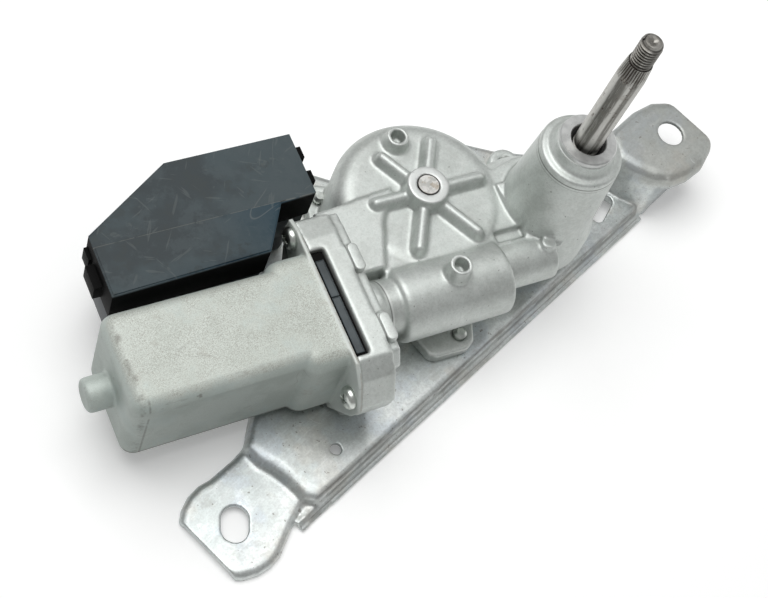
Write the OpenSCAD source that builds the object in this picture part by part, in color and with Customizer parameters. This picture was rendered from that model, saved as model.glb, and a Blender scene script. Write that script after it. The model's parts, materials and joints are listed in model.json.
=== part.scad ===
// Rear wiper motor: a flat-can motor drives a worm wheel, whose crank swings
// a geared linkage and, through it, the output shaft in its tower.
// Origin: on the output shaft's axis, in the collar's top face.
// X runs along the motor from the can to the worm's tip, Z along the shaft.

/* [Output shaft] */
// Diameter of the plain shaft
shaft_d = 10; // [9:0.5:11]
// Length of plain shaft that stands out of the collar
shaft_free_l = 37.8; // [25:0.1:50]
// Length of the knurled cone that holds the wiper arm
cone_l = 8.5; // [6:0.5:12]
// Diameter at the small end of the knurled cone
cone_d = 8.8; // [8.2:0.1:9.2]
// Nominal diameter of the thread for the arm's nut
thread_d = 8; // [6:1:8]
// Length of the thread
thread_l = 10.6; // [8:0.2:16]

/* [Gear housing] */
// Height of the collar's top face above the surface that the part lies on
collar_z = 78.5; // [74:0.5:86]
// Distance from the shaft to the wheel's axis, along X
wheel_x = -46.5; // [-47:0.5:-46]
// Distance from the shaft to the wheel's axis, along Y
wheel_y = 14.7; // [14.5:0.1:15]
// Height of the flat top of the gear case
case_top_z = 38; // [37:0.5:39]
// Thickness of the cast walls
wall = 2.6; // [2:0.1:3]
// Outer radius of the tube around the worm
tube_r = 13.6; // [13:0.1:14]
// Outer radius of the neck between the worm tube and the motor
neck_r = 10; // [9.8:0.1:11]
// Number of stiffening ribs around the wheel's hub
rib_count = 6; // [3:1:8]
// Outer radius at the top of the two hollow bosses
boss_r = 4.2; // [3.8:0.1:5]
// Radius of the blind holes in the bosses
boss_hole_r = 2.6; // [2:0.1:3]

/* [Worm drive] */
// Number of teeth on the worm wheel
wheel_teeth = 58; // [58:1:58]
// Gear module
gear_module = 1; // [1:0.5:1]
// Height of the worm's axis
worm_z = 28.5; // [28:0.1:29]
// Width of the worm wheel's rim
wheel_w = 10; // [8:0.5:10]
// Turns of thread on the worm
worm_turns = 8; // [6:2:8]

/* [Linkage] */
// Radius of the crank pin's circle
crank_r = 7; // [6.8:0.1:7]
// Distance from the shaft to the pin of the toothed link
lever_l = 16; // [16:1:16]
// Distance from the toothed link's pin to its crank eye
link_l = 41.5; // [41:0.1:42]
// Thickness of the lever plate
lever_t = 2.5; // [2:0.1:2.6]

/* [Motor] */
// Width of the flat steel can
can_w = 36.6; // [34:0.2:37]
// Height of the flat steel can
can_h = 40.2; // [38:0.2:40.2]
// Thickness of the can's wall
can_t = 1.6; // [1.2:0.1:2]
// Position of the can's closed end
can_end_x = -177; // [-180:0.5:-175]
// Position of the face where the can meets the casting
flange_x = -101; // [-102:0.5:-100]
// Radius of the armature's core
core_r = 13; // [12:0.1:13.2]
// Number of slots in the armature
slot_count = 10; // [6:1:12]

/* [Control box] */
// Height of the box's lid
box_top_z = 50; // [48:0.5:52]
// Height of the seam between lid and case
box_seam_z = 35; // [32:0.5:37]
// Height of the case's floor
box_floor_z = 21; // [20:0.5:23]
// Thickness of the plastic walls
box_t = 2; // [1.6:0.1:2.4]

/* [Bracket] */
// Angle of the bracket's long side to the motor
bracket_turn = 23.4; // [22:0.1:25]
// Thickness of the sheet
sheet_t = 1.8; // [1.5:0.1:2]
// Height of the main plate's top
plate_z = 7.5; // [7:0.1:8]
// Height of the low ears' top
low_ear_z = 3.6; // [3:0.1:4]
// Height of the raised ear's top
high_ear_z = 26.4; // [24:0.1:28]
// Radius of the round holes in the ears
ear_hole_r = 5.25; // [4.5:0.05:5.5]
// Half the width of the slot in the first ear
slot_r = 4.75; // [4:0.05:5]
// Length of the slot in the first ear
slot_l = 13; // [11:0.5:14]

/* [Hidden] */
$fn = 48;

wheel_at = [wheel_x, wheel_y];
wheel_r = wheel_teeth * gear_module / 2;
worm_r = 6;
motor_y = wheel_y - wheel_r - worm_r;
lead = PI * gear_module;
worm_l = worm_turns * lead;
mesh_gap = 0.25;
addendum = 0.8;
fit = 0.05;
gap = 0.3;

shaft_r = shaft_d / 2;
taper_z = collar_z + shaft_free_l;
thread_z = taper_z + cone_l;
shaft_tip_z = thread_z + thread_l;
shaft_foot_z = 10.4;
bush_r = 7.5;
collar_r = 10.6;
collar_hole_r = 6.5;
neck_top_z = collar_z - 2;
ledge_z = 71.8;

lever_z = 10.8;
link_z = lever_z + lever_t + gap;
link_t = 4;
pin_r = 3;
crank_pin_r = 2.5;
wheel_z = worm_z - wheel_w / 2;
axle_r = 3.5;
axle_head_r = 4.2;
hub_top_z = 45;
hub_r = 7.8;
case_r = 30.6;
swing_r = 26.4;
shaft_room_r = 12;
cavity_z = 19.8;
wheel_room_z = 34.4;
tube_x0 = -73;
tube_x1 = -29;
bush_x = tube_x1 - 4;
nose_x1 = -6.5;
nose_r = 9.4;
nose_y = motor_y + 3.7;
bore_r = 8;
bearing_r = 7;
neck_z = worm_z + 2;
tip_bore_r = 4.8;
motor_shaft_r = 3.5;
shaft_end_x = can_end_x - 7;
core_x = can_end_x + 13;
core_l = 42;
coil_r = 9.4;
bar_r = 1.8;
commutator_r = 7;
brush_room_r = 8.6;
block_x1 = -88;
strip_x1 = -84;
slot_x1 = flange_x + 5.4;

crank_far = norm(wheel_at) + crank_r;
crank_dir = atan2(wheel_y, wheel_x);
// Angle of the lever at the shaft, for a crank eye at a given distance
function lever_angle(d) =
    crank_dir - acos((lever_l ^ 2 + d ^ 2 - link_l ^ 2) / (2 * lever_l * d));
lever_rest = lever_angle(crank_far);
eye_at = crank_far * [cos(crank_dir), sin(crank_dir)];
link_pin_at = lever_l * [cos(lever_rest), sin(lever_rest)];
link_dir = atan2(eye_at[1] - link_pin_at[1], eye_at[0] - link_pin_at[0]);
small_gear_r = lever_l / 2;
small_teeth = 16;

bend_r = 2.6;
front_0 = [-134.6, -17.3];
front_1 = [50, -19.8];
lip_w = 5.9;
lip_back = 12.4;
lip_l = 199;
step_u = -134.65;
step_v = 8;
high_bend_r = 4.4;
under_v = -24.2;
ear_1 = [-163.6, -5.7];
ear_2 = [73.9, -11.2];
ear_3 = [-68.4, 86.2];
slot_at = [-163.2, -5.5];
slot_turn = 44.6;
cut_1_u = -176.2;
cut_2_u = 86;
lightening_at = [37.4, -12.6];
lightening_turn = 15;
pilot_at = [-119.1, -10.6];
lug_holes = [[-45, -31.5], [-73.5, 35.9], [6, 31.5]];
lug_top_z = 12.4;
back_boss = [-47.9, 37.7];
back_boss_z = 43;
front_boss = [-50.4, -19.9];
front_boss_z = 48.4;

box_x0 = -170.5;
box_x1 = -90;
box_back_y = 45;
box_outline = [
    [box_x0, 1.6], [-114, 3], [-103.5, 19.6], [box_x1, 20.3],
    [box_x1, box_back_y], [-137, box_back_y], [box_x0, 25]
];
socket_x = -114;
socket_z = 28.6;
feet_at = [[-96, 27], [-110, 23]];
foot_screw_r = 1.7;
board_t = 1.6;
can_screws_at = [[-49.2, 33.4], [8.6, 43.6]];

steel = [0.72, 0.74, 0.74];
cast = [0.76, 0.76, 0.74];
can_grey = [0.66, 0.7, 0.68];
black = [0.09, 0.1, 0.11];
dark = [0.2, 0.22, 0.23];
brass = [0.75, 0.6, 0.3];
copper = [0.72, 0.42, 0.24];
white = [0.88, 0.87, 0.82];

// Sets a piece drawn above the surface it lies on into the part's frame
module placed() {
    translate([0, 0, -collar_z]) children();
}

// Turns a piece drawn along Z to lie on the motor's axis, starting at x
module on_motor(x) {
    translate([x, motor_y, worm_z]) rotate([0, 90, 0]) children();
}

module on_bracket() {
    rotate([0, 0, bracket_turn]) children();
}

module tube(r_out, r_in, h) {
    difference() {
        cylinder(r = r_out, h = h);
        translate([0, 0, -1]) cylinder(r = r_in, h = h + 2);
    }
}

// Points on an arc about c, from angle a to angle b
function arc(c, r, a, b, n) =
    [for (i = [0:n]) c + r * [cos(a + (b - a) * i / n), sin(a + (b - a) * i / n)]];

function edge_dir(p, i) =
    let (d = p[(i + 1) % len(p)] - p[i]) d / norm(d);

// Step that moves point i of an anticlockwise outline outwards by one
function out_step(p, i) =
    let (
        a = edge_dir(p, (i + len(p) - 1) % len(p)),
        b = edge_dir(p, i),
        n = [a[1] + b[1], -a[0] - b[0]]
    )
    n * 2 / (n * n);

// Outline moved outwards by d, times the share of each point where shares are given
function grown(outline, d, shares) = [
    for (i = [0:len(outline) - 1])
        outline[i] + d * (len(shares) == 0 ? 1 : shares[i]) * out_step(outline, i)
];

// Pressed sheet: the outline is the flat top, and each row of the section
// gives how far out and how high the sheet runs, from its top to its underside
module pressing(outline, section, shares = []) {
    count = len(outline);
    points = [for (row = section) for (p = grown(outline, row[0], shares)) [p[0], p[1], row[1]]];
    sides = [
        for (k = [0:len(section) - 2]) for (i = [0:count - 1])
            let (j = (i + 1) % count)
            [k * count + i, k * count + j, (k + 1) * count + j, (k + 1) * count + i]
    ];
    last = (len(section) - 1) * count;
    polyhedron(points, concat(
        [[for (i = [0:count - 1]) count - 1 - i]],
        sides,
        [[for (i = [0:count - 1]) last + i]]
    ));
}

// Section of a rim that bends down from a flat top at z to the height foot
function rim(z, foot, slope, bend = bend_r) =
    let (
        drop = z - foot,
        inner = bend - sheet_t,
        spread = slope * drop
    )
    concat(
        [for (a = [0:30:90]) [bend * sin(a), z - bend * (1 - cos(a))]],
        [[bend + spread, foot]],
        [[bend + spread - sheet_t, foot]],
        [for (a = [90:-30:0]) [inner * sin(a), z - sheet_t - inner * (1 - cos(a))]]
    );

module mounting_bracket() {
    // Flat top of the main plate, with a hollow around each low ear
    plate = concat(
        [front_0, front_1, [46.5, -11], [44.5, -4], [46, 10], [30, 24]],
        [[21, 33], [9, 49], [-41, 64.5], [-48.8, 77]],
        arc(ear_3, 19, -28, -142, 8),
        [[-86, 74.5], [-100, 66], [-112, 45], [-122, 28], [-129.4, 16.9]],
        arc([-188, -11.6], 53.3, 24, -4, 6)
    );
    // The step down to the first ear is twice as wide as the other bends
    shares = [for (p = plate) p[0] < step_u && p[1] < step_v ? 2 : 1];
    low_ear = concat([[-137, -13], [-137, 10.2], [-148, 9.2]], arc(ear_1, 16, 70, 300, 14),
        [[-150, -17.2]]);
    high_ear = concat(arc([57, -5], 6.4, 90, 180, 4),
        [[52.3, -11.5], [55.4, -18], [60, -22], [67, -24.2], [75, -24.8], [82, -23], [94, -16]],
        [[94, -9.8], [85, -4.6], [79, -0.3], [71, 1.4]]);
    back_ear = concat([[-84, 64], [-55, 67]], arc(ear_3, 12, -20, 200, 14));
    lip = [
        [-1.2, 2.6], [-2.8, 0.6], [-3.6, 0], [-lip_w, 0], [-lip_w, sheet_t], [-4, sheet_t], [-3, 3.2]
    ];
    front_turn = atan2(front_1[1] - front_0[1], front_1[0] - front_0[0]);
    color(steel) placed() on_bracket() difference() {
        union() {
            pressing(plate, rim(plate_z, 0.35, 0.06), shares);
            pressing(high_ear, rim(high_ear_z, 1.1, 0.07, high_bend_r));
            // Straight wall under the raised ear's overhanging front
            translate([55.9, under_v, 1.1]) cube([24.6, sheet_t, high_ear_z - 2.3]);
            // The low ears end within the thickness of the plate's wall
            difference() {
                union() {
                    pressing(low_ear, rim(low_ear_z, 0, 0.02));
                    pressing(back_ear, rim(low_ear_z, 0.15, 0.02));
                }
                translate([0, 0, -1]) linear_extrude(height = plate_z)
                    polygon(grown(plate, bend_r - sheet_t / 2 + 0.2, shares));
            }
            translate([front_0[0], front_0[1], 0]) rotate([0, 0, front_turn])
                translate([-lip_back, 0, 0]) rotate([90, 0, 90])
                    linear_extrude(height = lip_l) polygon(lip);
        }
        translate([cut_1_u - 40, -60, -1]) cube([40, 120, 20]);
        translate([cut_2_u, -60, -1]) cube([40, 120, 60]);
        translate([cut_2_u, under_v + 2.4, 19]) rotate([0, 140, 0]) cube([40, 80, 60]);
        translate([52.3, under_v - 20.2, -1]) cube([60, 20, 19.6]);
        translate([slot_at[0], slot_at[1], -1]) rotate([0, 0, slot_turn]) {
            for (s = [-1, 1]) translate([s * (slot_l / 2 - slot_r), 0, 0])
                cylinder(r = slot_r, h = 10);
            translate([slot_r - slot_l / 2, -slot_r, 0])
                cube([slot_l - 2 * slot_r, 2 * slot_r, 10]);
        }
        translate([ear_2[0], ear_2[1], 20]) cylinder(r = ear_hole_r, h = 10);
        translate([ear_3[0], ear_3[1], -1]) cylinder(r = ear_hole_r, h = 10);
        translate([pilot_at[0], pilot_at[1], 0]) cylinder(r = 2, h = 20);
        translate([lightening_at[0], lightening_at[1], 0]) rotate([0, 0, lightening_turn]) {
            for (s = [-1, 1]) translate([s * 4.5, 0, 0]) cylinder(r = 2.4, h = 12);
            translate([-4.5, -2.4, 0]) cube([9, 4.8, 12]);
        }
        rotate([0, 0, -bracket_turn]) {
            for (p = lug_holes) translate([p[0], p[1], 2]) cylinder(r = 3, h = 12);
            for (p = feet_at) translate([p[0], p[1], 2]) cylinder(r = foot_screw_r + gap, h = 12);
        }
    }
}

// Plan of the room for the wheel and the linkage
module cavity_plan(grow) {
    translate(wheel_at) circle(r = case_r + grow);
    circle(r = shaft_room_r + grow);
    intersection() {
        circle(r = swing_r + grow);
        translate([-40 - grow, -3 - grow]) square([52 + 2 * grow, 46]);
    }
}

module dome() {
    fillet = 7.5;
    rim_r = case_r + wall;
    translate(wheel_at) rotate_extrude($fn = 96) polygon(concat(
        [[0, plate_z], [rim_r, plate_z]],
        arc([rim_r - fillet, case_top_z - fillet], fillet, 0, 90, 6),
        [[0, case_top_z]]
    ));
}

// Stiffening rib with a rounded crest and a rounded end, along +X
module hub_rib(length) {
    half = 3.3;
    crest = 2.1;
    top = case_top_z + 4.4;
    half_plan = concat([[0, case_top_z - 1], [half, case_top_z - 1]],
        arc([0, top - crest], crest, 20, 90, 3));
    full_plan = concat([[-half, case_top_z - 1], [half, case_top_z - 1]],
        arc([0, top - crest], crest, 20, 160, 6));
    translate([length, 0, 0]) rotate_extrude($fn = 24) polygon(half_plan);
    rotate([90, 0, 90]) linear_extrude(height = length) polygon(full_plan);
}

module hollow_boss(at, foot, top) {
    translate([at[0], at[1], foot]) cylinder(r1 = boss_r + 1.3, r2 = boss_r, h = top - foot);
}

module tower() {
    rotate_extrude($fn = 96) polygon([
        [0, cavity_z - 2], [20.5, cavity_z - 2], [20, 30], [18.2, 36], [17.5, 40],
        [15.5, ledge_z - 3], [15.1, ledge_z - 2.6], [15.4, ledge_z - 2], [15.3, ledge_z - 0.8],
        [14.6, ledge_z], [12.6, ledge_z], [11.7, ledge_z + 1], [11.2, ledge_z + 2.6],
        [11, neck_top_z], [0, neck_top_z]
    ]);
}

// Room around the linkage, wider than the tower on the side away from the motor
module linkage_case() {
    shoulder_z = 22;
    translate([0, 0, plate_z]) linear_extrude(height = shoulder_z - plate_z) cavity_plan(wall);
    intersection() {
        translate([0, 0, shoulder_z]) cylinder(r1 = swing_r + wall, r2 = 19, h = 12, $fn = 96);
        translate([-42, -5, shoulder_z]) cube([56, 40, 12]);
    }
}

module motor_block() {
    outline = [
        [-43, 48.2], [-49, 43], [-54.6, 33], [-53.6, 26], [-47, 12], [-41, 8.4], [-4, 8.4],
        [9, 13], [14, 28], [15.6, 40], [13, 46.5], [4, 48.2]
    ];
    strip = [[-42, 46], [-46, 40], [-40, 10], [-4, 10], [9, 14], [15.6, 38], [13, 45], [4, 46]];
    translate([flange_x, 0, 0]) rotate([90, 0, 90])
        linear_extrude(height = block_x1 - flange_x) polygon(outline);
    translate([block_x1 - 1, 0, 0]) rotate([90, 0, 90])
        linear_extrude(height = strip_x1 - block_x1 + 1) polygon(strip);
    for (y = [-6, -33]) translate([strip_x1 - 1.8, y, 44]) {
        for (s = [-1, 1]) translate([0, s * 3.6, 0]) cylinder(r = 1.7, h = 4.2, $fn = 24);
        translate([-1.7, -3.6, 0]) cube([3.4, 7.2, 4.2]);
    }
}

module worm_case() {
    edge = 2.4;
    on_motor(tube_x0) rotate_extrude($fn = 96) polygon(concat(
        [[0, 0]],
        arc([tube_r - edge, edge], edge, -90, 0, 4),
        arc([tube_r - 1, tube_x1 - tube_x0 - 1], 1, 0, 90, 2),
        [[0, tube_x1 - tube_x0]]
    ));
    translate([strip_x1 - 2, motor_y, neck_z]) rotate([0, 90, 0]) {
        cylinder(r = neck_r, h = tube_x0 - strip_x1 + 5);
        cylinder(r = neck_r + 0.7, h = 6);
    }
    difference() {
        translate([tube_x1 - 3, nose_y, worm_z]) rotate([0, 90, 0])
            cylinder(r = nose_r, h = nose_x1 - tube_x1 + 3);
        translate([nose_x1, motor_y - 20, worm_z + 4]) rotate([0, 35, 0]) cube([30, 40, 40]);
    }
    translate([tube_x0 + 4, motor_y - 4.4, plate_z]) cube([38, 17, worm_z - plate_z]);
    translate([tube_x1 - 10, nose_y + 1, plate_z]) cube([28, 12, worm_z - plate_z]);
}

module lugs() {
    front = [[-63, -24], [-59.5, -35.6], [-57, -37.4], [-44, -37.6], [-40.4, -35.2], [-36, -24]];
    translate([0, 0, plate_z]) linear_extrude(height = lug_top_z - plate_z) {
        polygon(front);
        translate(lug_holes[1]) circle(r = 6.4);
        polygon([[-79.5, 33.6], [-84, 16], [-60, 16], [-66, 41], [-69, 40.5]]);
        translate(lug_holes[2]) circle(r = 6.4);
        translate([-0.4, 20]) square([12.8, 11.5]);
    }
}

// Raised flat land beside the hub, towards the motor, and the web to the tower
module case_lands() {
    step = [
        [-58, 12], [-63, 12.4], [-66, 8], [-72.8, -9], [-84, -9.5],
        [-90, 6], [-90, 17.6], [-70, 19], [-58, 20]
    ];
    web = [
        [-74, -12], [-16, -11.4], [-5, -19], [9, -12], [15, 0], [12, 15],
        [6, 20.5], [-6, 20.5], [-16, 18], [-24, 33], [-62, 20]
    ];
    translate([0, 0, plate_z + 1]) linear_extrude(height = case_top_z + 1.4 - plate_z - 1)
        polygon(step);
    translate([0, 0, cavity_z]) linear_extrude(height = case_top_z - 0.6 - cavity_z) polygon(web);
    translate([-18, 1, case_top_z - 2]) cube([8, 10, 3]);
    translate([-9.5, -17.2, case_top_z - 12]) cylinder(r1 = 3.4, r2 = 2.8, h = 13.7);
}

module gear_housing() {
    rib_lengths = [25, 24, 22, 22, 26, 26];
    color(cast) placed() difference() {
        union() {
            dome();
            linkage_case();
            tower();
            worm_case();
            motor_block();
            lugs();
            case_lands();
            translate([wheel_x, wheel_y, case_top_z - 1])
                cylinder(r1 = hub_r + 0.6, r2 = hub_r, h = hub_top_z - case_top_z + 1);
            for (i = [0:rib_count - 1]) translate([wheel_x, wheel_y, 0])
                rotate([0, 0, i * 360 / rib_count]) hub_rib(rib_lengths[i % 6] - 2);
            hollow_boss(back_boss, case_top_z - 3, back_boss_z);
            hollow_boss(front_boss, case_top_z - 2, front_boss_z);
        }
        // Room for the wheel, with a pad left for the thrust washer
        difference() {
            translate([wheel_x, wheel_y, plate_z - 1])
                cylinder(r = case_r, h = wheel_room_z - plate_z + 1, $fn = 96);
            translate([wheel_x, wheel_y, wheel_z + wheel_w + 0.8]) cylinder(r = 7, h = 10);
        }
        translate([0, 0, plate_z - 1]) linear_extrude(height = cavity_z - plate_z + 1)
            cavity_plan(0);
        translate([wheel_x, wheel_y, wheel_z]) cylinder(r = axle_r, h = 30);
        translate([wheel_x, wheel_y, case_top_z]) cylinder(r = axle_head_r, h = 20);
        translate([0, 0, cavity_z - 1]) cylinder(r = bush_r, h = neck_top_z - cavity_z + 2);
        on_motor(flange_x - 1) cylinder(r = bore_r, h = strip_x1 - 3 - flange_x + 1);
        on_motor(strip_x1 - 4) cylinder(r = bearing_r, h = 24);
        on_motor(tube_x0 + 6) cylinder(r = bore_r, h = bush_x - tube_x0 - 6);
        on_motor(bush_x - 1) cylinder(r = tip_bore_r, h = 12);
        // Hollow between the worm tube and the tower
        translate([-27.4, -11.2, 35.2]) cube([12, 4.6, 6]);
        // Slot for the brush holder, open at the top
        translate([flange_x - 1, -41, 11]) cube([slot_x1 - flange_x + 1, 41, 50]);
        for (p = can_screws_at) translate([flange_x - 1, p[0], p[1]]) rotate([0, 90, 0])
            cylinder(r = 2, h = 13);
        for (p = lug_holes) translate([p[0], p[1], plate_z - 1]) cylinder(r = 2.5, h = 9);
        translate([back_boss[0], back_boss[1], back_boss_z - 5]) cylinder(r = boss_hole_r, h = 10);
        translate([front_boss[0], front_boss[1], front_boss_z - 5.2])
            cylinder(r = boss_hole_r, h = 10);
    }
}

module housing_cover() {
    color(steel) placed() difference() {
        translate([0, 0, plate_z]) linear_extrude(height = 1.5) cavity_plan(-0.3);
        translate([wheel_x, wheel_y, plate_z + 0.8]) tube(24, 20, 2);
    }
}

module bracket_screws() {
    head_z = plate_z - sheet_t - 4;
    color(white) placed() for (p = lug_holes) translate([p[0], p[1], head_z]) difference() {
        union() {
            cylinder(r = 4.6, h = 4);
            cylinder(r = 2.5, h = lug_top_z + 1.4 - head_z);
            translate([0, 0, lug_top_z + 1.4 - head_z]) cylinder(r1 = 2.5, r2 = 1.5, h = 1);
        }
        translate([0, 0, -1]) cylinder(r = 2.6, h = 3, $fn = 6);
    }
}

module wheel_axle() {
    foot = wheel_z + 0.4;
    color(steel) placed() translate([wheel_x, wheel_y, foot]) {
        cylinder(r = axle_r, h = case_top_z - foot);
        translate([0, 0, case_top_z - foot]) cylinder(r = axle_head_r, h = hub_top_z - case_top_z);
    }
}

module thrust_washer() {
    color(brass) placed() translate([wheel_x, wheel_y, wheel_z + wheel_w + 0.2])
        tube(6.8, axle_r, 0.6);
}

module shaft_bush(z, h) {
    color(brass) placed() translate([0, 0, z]) tube(bush_r, shaft_r + fit, h);
}

module lower_bush() shaft_bush(cavity_z, 14);

module upper_bush() shaft_bush(58, 14);

module shaft_seal() {
    color(black) placed() rotate_extrude() polygon([
        [shaft_r + fit, 72.4], [bush_r, 72.4], [bush_r, 73.6], [collar_hole_r - 0.1, 74.6],
        [collar_hole_r - 0.1, 76.4], [shaft_r + 0.9, 76.4], [shaft_r + fit, 75]
    ]);
}

module tower_collar() {
    color(cast) placed() rotate_extrude($fn = 96) polygon([
        [collar_hole_r, 74.8], [bush_r, 74.8], [bush_r, neck_top_z], [collar_r, neck_top_z],
        [collar_r, collar_z - 0.4], [collar_r - 0.4, collar_z],
        [collar_hole_r + 0.3, collar_z], [collar_hole_r, collar_z - 0.3]
    ]);
}

// Smooth drawn shell: rounded closed end, grown or shrunk by d
module can_form(d) {
    half_w = can_w / 2 + d;
    half_h = can_h / 2 + d;
    round_r = 5 + d;
    hull() for (y = [-1, 1]) for (z = [-1, 1]) translate([
        0, motor_y + y * (half_w - round_r), worm_z + z * (half_h - round_r)
    ]) {
        translate([can_end_x + round_r - d, 0, 0]) sphere(r = round_r, $fn = 24);
        translate([flange_x - 3, 0, 0]) rotate([0, 90, 0]) cylinder(r = round_r, h = 3, $fn = 24);
    }
}

module can_shoulder(d) {
    half_w = can_w / 2 + 3.4 + d;
    half_h = can_h / 2 + d;
    round_r = 6 + d;
    hull() for (y = [-1, 1]) for (z = [-1, 1]) translate([
        0, motor_y + y * (half_w - round_r), worm_z + z * (half_h - round_r)
    ]) {
        translate([-112.5, 0, 0]) sphere(r = round_r, $fn = 24);
        translate([flange_x - 3, 0, 0]) rotate([0, 90, 0]) cylinder(r = round_r, h = 3, $fn = 24);
    }
}

module motor_can() {
    flange = [
        [-44, 48.8], [-50, 43.4], [-55.4, 33], [-53, 25], [-42, 9], [0, 9],
        [4, 30], [15, 38], [14, 47], [8, 49], [4, 48.8]
    ];
    color(can_grey) placed() difference() {
        union() {
            can_form(0);
            can_shoulder(0);
            translate([flange_x - can_t, 0, 0]) rotate([90, 0, 90])
                linear_extrude(height = can_t) polygon(flange);
            on_motor(can_end_x - 9) rotate_extrude() polygon([
                [0, 0], [4.6, 0], [5.6, 0.5], [6, 1.6], [6, 9.5], [7.5, 11], [0, 11]
            ]);
        }
        can_form(-can_t);
        can_shoulder(-can_t);
        translate([flange_x - 1.4, motor_y - 16, worm_z - 14]) cube([2, 32, 28]);
        on_motor(can_end_x - 7.4) cylinder(r = 4.6, h = 12);
        for (p = can_screws_at) translate([flange_x - 3, p[0], p[1]]) rotate([0, 90, 0])
            cylinder(r = 2.2, h = 6);
    }
}

module can_screws() {
    color(white) placed() for (p = can_screws_at)
        translate([flange_x - can_t, p[0], p[1]]) rotate([0, 90, 0]) {
            difference() {
                translate([0, 0, -3]) rotate_extrude() polygon(concat(
                    [[0, 0]], arc([2, 2.2], 2.2, -90, 0, 4), [[4.2, 3], [0, 3]]));
                for (a = [0, 90]) rotate([0, 0, a])
                    translate([-2.4, -0.5, -4]) cube([4.8, 1, 2.6]);
            }
            cylinder(r = 2, h = can_t + 10);
        }
}

module can_bush() {
    color(brass) placed() on_motor(shaft_end_x + 0.2) tube(4.6, motor_shaft_r + fit, 7);
}

module magnets() {
    color(dark) placed() intersection() {
        on_motor(can_end_x + 11) difference() {
            tube(21, core_r + 0.7, 48);
            translate([-7, -30, -1]) cube([14, 60, 50]);
        }
        can_form(-can_t - 0.05);
    }
}

module brush_holder() {
    color(black) placed() difference() {
        translate([flange_x + 0.3, -40.6, 11.3]) cube([slot_x1 - flange_x - 0.6, 40.2, 34.9]);
        on_motor(flange_x - 1) cylinder(r = brush_room_r, h = 10);
        for (s = [-1, 1]) translate([flange_x - 1, motor_y + s * 13.5 - 5.4, worm_z - 2.6])
            cube([5.2, 10.8, 5.2]);
    }
}

module carbon_brushes() {
    color(dark) placed() for (s = [-1, 1])
        translate([flange_x + 0.4, motor_y + s * 10.4 - 3.2, worm_z - 2.3])
            cube([3.6, 6.4, 4.6]);
}

module brush_springs() {
    color(steel) placed() for (s = [-1, 1])
        translate([flange_x + 2.2, motor_y + s * 13.7, worm_z]) rotate([-s * 90, 0, 0]) {
            for (i = [0:3]) translate([0, 0, i * 1.1]) tube(1.7, 1.2, 0.6);
            for (a = [0, 120, 240]) rotate([0, 0, a]) translate([1.2, -0.25, 0])
                cube([0.5, 0.5, 3.9]);
        }
}

module motor_gasket() {
    color(black) placed() on_motor(slot_x1 - gap + 0.03) tube(10.5, bore_r + gap, gap - 0.06);
}

module worm_bearing() {
    color(steel) placed() on_motor(strip_x1) {
        tube(bearing_r, 6, 6);
        translate([0, 0, 1.4]) tube(5.8, 4.8, 3.2);
        tube(4.6, motor_shaft_r + fit, 6);
    }
}

module tip_bush() {
    color(brass) placed() on_motor(bush_x) tube(tip_bore_r, motor_shaft_r + fit, 6);
}

module tip_plug() {
    color(white) placed() on_motor(bush_x + 7.6) cylinder(r = tip_bore_r, h = 3.2);
}

module box_shell(z0, z1, inset) {
    translate([0, 0, z0]) linear_extrude(height = z1 - z0) offset(delta = -inset)
        polygon(box_outline);
}

module control_case() {
    sock_w = 22;
    sock_h = 11;
    color(dark) placed() difference() {
        union() {
            difference() {
                box_shell(box_floor_z, box_seam_z, 1);
                box_shell(box_floor_z + box_t, box_seam_z + 1, 1 + box_t);
            }
            translate([socket_x - sock_w / 2, box_back_y - 12, socket_z - sock_h / 2])
                cube([sock_w, 17, sock_h]);
            for (p = feet_at) translate([p[0], p[1], plate_z])
                cylinder(r1 = 4.4, r2 = 5, h = box_floor_z - plate_z + 1);
        }
        translate([socket_x - sock_w / 2 + 1.6, box_back_y - 10, socket_z - sock_h / 2 + 1.6])
            cube([sock_w - 3.2, 20, sock_h - 3.2]);
        for (p = feet_at) translate([p[0], p[1], plate_z - 1]) cylinder(r = foot_screw_r, h = 11);
    }
}

module control_lid() {
    ridge = 0.5;
    color(black) placed() {
        difference() {
            union() {
                box_shell(box_seam_z, box_top_z - ridge, 0);
                translate([0, 0, box_top_z - ridge]) linear_extrude(height = ridge)
                    intersection() {
                        offset(delta = -0.5) polygon(box_outline);
                        translate([box_x0, -5]) square([90, 25.2]);
                    }
            }
            box_shell(box_seam_z - 1, box_top_z - ridge - box_t, box_t);
        }
        translate([box_x0 - 3, 9, box_seam_z + 1]) cube([3.2, 9, 7]);
        translate([box_x0 - 1.2, 19.6, box_seam_z + 1]) cube([1.4, 5, 7]);
        for (y = [26, 36]) translate([box_x1 - 0.2, y, box_seam_z + 2]) cube([3, 4.6, 10]);
    }
}

module circuit_board() {
    color([0.1, 0.35, 0.2]) placed() difference() {
        box_shell(box_seam_z, box_seam_z + board_t, box_t + 0.2);
        translate([-150, 24, 0]) cylinder(r = 1.6, h = 60);
    }
}

module relay() {
    color(white) placed() translate([-160, 6, box_seam_z + board_t]) {
        cube([16, 13, 9.6]);
        translate([2, 2, 9.6]) cube([12, 9, 0.6]);
    }
}

module capacitor() {
    color(steel) placed() translate([-128, 30, box_seam_z + board_t]) {
        cylinder(r = 5, h = 8.8);
        translate([12, 0, 0]) cylinder(r = 4, h = 8);
    }
}

module socket_terminals() {
    color(brass) placed() for (i = [-2:2])
        translate([socket_x + i * 3.4 - 0.4, box_back_y - 14, socket_z - 0.7])
            cube([0.8, 11, 1.4]);
}

module case_screws() {
    color(white) placed() for (p = feet_at) translate([p[0], p[1], plate_z - sheet_t - 2.4]) {
        cylinder(r = 3.4, h = 2.4);
        cylinder(r = foot_screw_r, h = 10);
    }
}

module armature_shaft() {
    color(steel) placed() on_motor(shaft_end_x)
        cylinder(r = motor_shaft_r, h = bush_x + 7.2 - shaft_end_x);
}

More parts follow.
